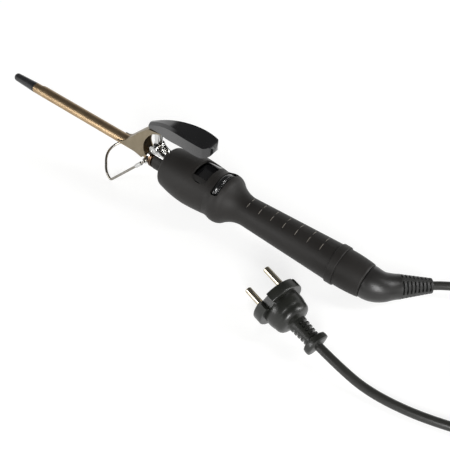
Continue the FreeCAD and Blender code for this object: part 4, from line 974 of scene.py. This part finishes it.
# --------------------------------------------------------------------------- the lead
@dataclass
class MainsLead:
    """PVC-sheathed mains lead: out of the elbow, wound in a coil, and back to its plug.

    Sizes are in millimetres. The coil is wound inwards on the floor and outwards on top of that, so both
    of its ends are outside.
    """

    diameter: float = 6.2
    length: float = 1800.0
    exit_point: tuple[float, float, float] = (188.71, 22.275, 11.83)
    way_out: tuple[tuple[float, float, float], ...] = (
        (202.9, 34.85, 11.08), (230.335, 45.905, 6.2), (256.335, 49.505, 3.2))
    way_back: tuple[tuple[float, float, float], ...] = (
        (273.335, -51.2, 3.2), (247.6, -61.0, 3.2), (221.3, -67.9, 3.25), (195.2, -70.8, 4.4),
        (174.835, -69.495, 8.3), (155.517, -65.81, 11.43))
    coil_centre: tuple[float, float] = (274.835, 1.705)
    coil_outer: float = 44.8
    coil_inner: float = 22.0
    coil_start: float = 82.0
    coil_end: float = -60.5
    whole_turns: int = 7
    points_per_turn: int = 16
    floor_gap: float = 0.1
    inner_share: float = 0.03
    rise_start: float = 0.47
    rise_share: float = 0.06

    def coil_points(self) -> np.ndarray:
        """Control points of the wound part, as one array.

        The radius falls steadily over the first half of the turns and grows again over the second; the
        height steps up by one diameter where the winding turns back.

        Returns:
            Points by 3, in millimetres.
        """
        turns = self.whole_turns + (self.coil_start - self.coil_end) / 360
        steps = int(round(turns * self.points_per_turn))
        share = np.linspace(0, 1, steps + 1)
        angle = np.radians(self.coil_start - 360 * turns * share)
        fall = np.clip(np.abs(share - 0.5) * 2 - self.inner_share, 0, 1) / (1 - self.inner_share)
        radius = self.coil_inner + (self.coil_outer - self.coil_inner) * fall
        radius = radius / math.cos(math.pi / self.points_per_turn)
        rise = np.clip((share - self.rise_start) / self.rise_share, 0, 1)
        height = self.diameter / 2 + self.floor_gap + self.diameter * rise * rise * (3 - 2 * rise)
        return np.stack([self.coil_centre[0] + radius * np.cos(angle),
                         self.coil_centre[1] + radius * np.sin(angle), height], axis=1)

    def build(self, plug: bpy.types.Object) -> bpy.types.Object:
        """Make the lead as one smooth spline.

        Args:
            plug: The plug's moulding, which is fixed to the lead's far end; not used.

        Returns:
            The curve object.
        """
        points = np.vstack([[self.exit_point], self.way_out, self.coil_points(), self.way_back]) * MM
        curve = bpy.data.curves.new("mains_lead", "CURVE")
        curve.dimensions = "3D"
        spline = curve.splines.new("NURBS")
        spline.points.add(len(points) - 1)
        spline.points.foreach_set("co", np.hstack([points, np.ones((len(points), 1))]).ravel())
        spline.order_u = 3
        spline.use_endpoint_u = True
        spline.resolution_u = 6
        curve.bevel_depth = self.diameter / 2 * MM
        curve.bevel_resolution = 5
        curve.use_fill_caps = True
        curve.materials.append(material_of(SHEATH))
        lead = new_object("mains_lead", curve)
        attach(lead, "lead")
        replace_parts(lead, "lead_out", "lead_coil", "lead_back")
        LOG.info("built %s", lead.name)
        return lead


# ------------------------------------------------------------------------- the studio
@dataclass(frozen=True)
class SoftBox:
    """Rectangular lamp: its place and aim in metres, its sides, its watts, and whether gloss shows it."""

    name: str
    place: tuple[float, float, float]
    aim: tuple[float, float, float]
    size: tuple[float, float]
    power: float
    mirrored: bool = True

    def build(self) -> None:
        """Hang the lamp in the studio."""
        lamp = bpy.data.lights.new(self.name, "AREA")
        lamp.shape = "RECTANGLE"
        lamp.size, lamp.size_y = self.size
        lamp.energy = self.power
        holder = new_object(self.name, lamp)
        holder.location = self.place
        holder.rotation_euler = (Vector(self.aim) - Vector(self.place)).to_track_quat("-Z", "Y").to_euler()
        holder.visible_glossy = self.mirrored


# A fill behind for the form alone, and three whose reflections draw the gloss.
SOFT_BOXES = (SoftBox("back_fill", (-0.3, 1.1, 0.8), (0.0, 0.0, 0.02), (0.9, 0.35), 5.0, mirrored=False),
              SoftBox("left_box", (-0.62, -1.15, 0.50), (0.0, 0.0, 0.02), (0.45, 0.5), 6.0),
              SoftBox("front_box", (0.98, -1.02, 0.74), (0.08, 0.0, 0.02), (0.42, 0.80), 19.0),
              SoftBox("side_strip", (1.05, 0.55, 0.55), (0.05, 0.0, 0.02), (0.20, 1.0), 11.0))


@dataclass
class Studio:
    """Plain pale table in a light tent, with soft boxes and the camera."""

    camera_place: tuple[float, float, float] = (285.59, -331.025, 421.73)
    azimuth: float = 37.70
    elevation: float = 46.0
    field_of_view: float = 32.014255
    floor_size: float = 9000.0
    floor_drop: float = 0.05
    table_glow: float = 1.15
    table_glow_share: float = 0.66
    tent_rim: float = 0.95
    tent_roof: float = 0.11
    tent_strength: float = 0.9

    def build(self) -> None:
        """Make the floor, the world, the lamps and the camera."""
        self.make_floor()
        self.make_world()
        for soft_box in SOFT_BOXES:
            soft_box.build()
        self.make_camera()

    def make_floor(self) -> None:
        """Matt white table; it shows white to the camera and to gloss, and keeps the shadow."""
        half = self.floor_size / 2 * MM
        mesh = bpy.data.meshes.new("studio_floor")
        drop = -self.floor_drop * MM
        mesh.from_pydata([(-half, -half, drop), (half, -half, drop), (half, half, drop), (-half, half, drop)],
                         [], [(0, 1, 2, 3)])
        floor = new_object("studio_floor", mesh)
        material, tree, _ = new_material("white_table")
        path = add_node(tree, "LightPath")
        seen = add_node(tree, "Math", {0: path.outputs["Is Camera Ray"], 1: path.outputs["Is Glossy Ray"]},
                        operation="MAXIMUM")
        either = add_node(tree, "Math", {0: seen.outputs[0], 1: path.outputs["Is Transmission Ray"]},
                          operation="MAXIMUM")
        share = add_node(tree, "Math", {0: either.outputs[0], 1: self.table_glow_share}, operation="MULTIPLY")
        matt = add_node(tree, "BsdfDiffuse", {"Color": linear("#F2F2F0")})
        glow = add_node(tree, "Emission", {"Color": WHITE, "Strength": self.table_glow})
        mix = add_node(tree, "MixShader", {0: share.outputs[0], 1: matt.outputs[0], 2: glow.outputs[0]})
        add_node(tree, "OutputMaterial", {"Surface": mix.outputs[0]})
        mesh.materials.append(material)

    def make_world(self) -> None:
        """Light tent: bright near the horizon, dimmer overhead, white to the camera."""
        world = bpy.data.worlds.new("light_tent")
        bpy.context.scene.world = world
        world.use_nodes = True
        tree = world.node_tree
        tree.nodes.clear()
        place = add_node(tree, "TexCoord").outputs["Generated"]
        height = add_node(tree, "SeparateXYZ", {"Vector": place}).outputs["Z"]
        ramp = add_node(tree, "ValToRGB", {"Fac": height})
        ramp.color_ramp.elements[0].position = 0.33
        ramp.color_ramp.elements[0].color = (*[self.tent_rim] * 3, 1.0)
        ramp.color_ramp.elements[1].position = 0.42
        ramp.color_ramp.elements[1].color = (*[self.tent_roof] * 3, 1.0)
        tent = add_node(tree, "Background", {"Color": ramp.outputs["Color"], "Strength": self.tent_strength})
        white = add_node(tree, "Background", {"Color": WHITE, "Strength": 1.0})
        path = add_node(tree, "LightPath")
        mix = add_node(tree, "MixShader", {0: path.outputs["Is Camera Ray"], 1: tent.outputs[0],
                                          2: white.outputs[0]})
        add_node(tree, "OutputWorld", {"Surface": mix.outputs[0]})

    def make_camera(self) -> None:
        """Camera with no roll, looking down on the iron from the near right."""
        turn, dip = math.radians(self.azimuth), math.radians(self.elevation)
        right = Vector((math.cos(turn), math.sin(turn), 0))
        back = Vector((math.sin(turn) * math.cos(dip), -math.cos(turn) * math.cos(dip), math.sin(dip)))
        upward = back.cross(right)
        lens = bpy.data.cameras.new("camera")
        lens.sensor_width = 36.0
        lens.angle = math.radians(self.field_of_view)
        lens.clip_start, lens.clip_end = 0.02, 20.0
        camera = new_object("camera", lens)
        frame_axes = Matrix((right, upward, back)).transposed().to_4x4()
        camera.matrix_world = Matrix.Translation(Vector(self.camera_place) * MM) @ frame_axes
        bpy.context.scene.camera = camera


def main() -> None:
    """Build the studio and every sub-assembly."""
    logging.basicConfig(level=logging.INFO, format="%(name)s: %(message)s")
    bpy.context.scene.view_settings.view_transform = "Standard"
    Studio().build()
    for assembly in (HeatedRod(), SprungClamp(), HingeFittings(), WireRest(), Handle(), SwitchPanel(),
                     HeatDial(), SwivelTail(), Innards()):
        assembly.build()
    MainsLead().build(MainsPlug().build())


if __name__ == "__main__":
    main()
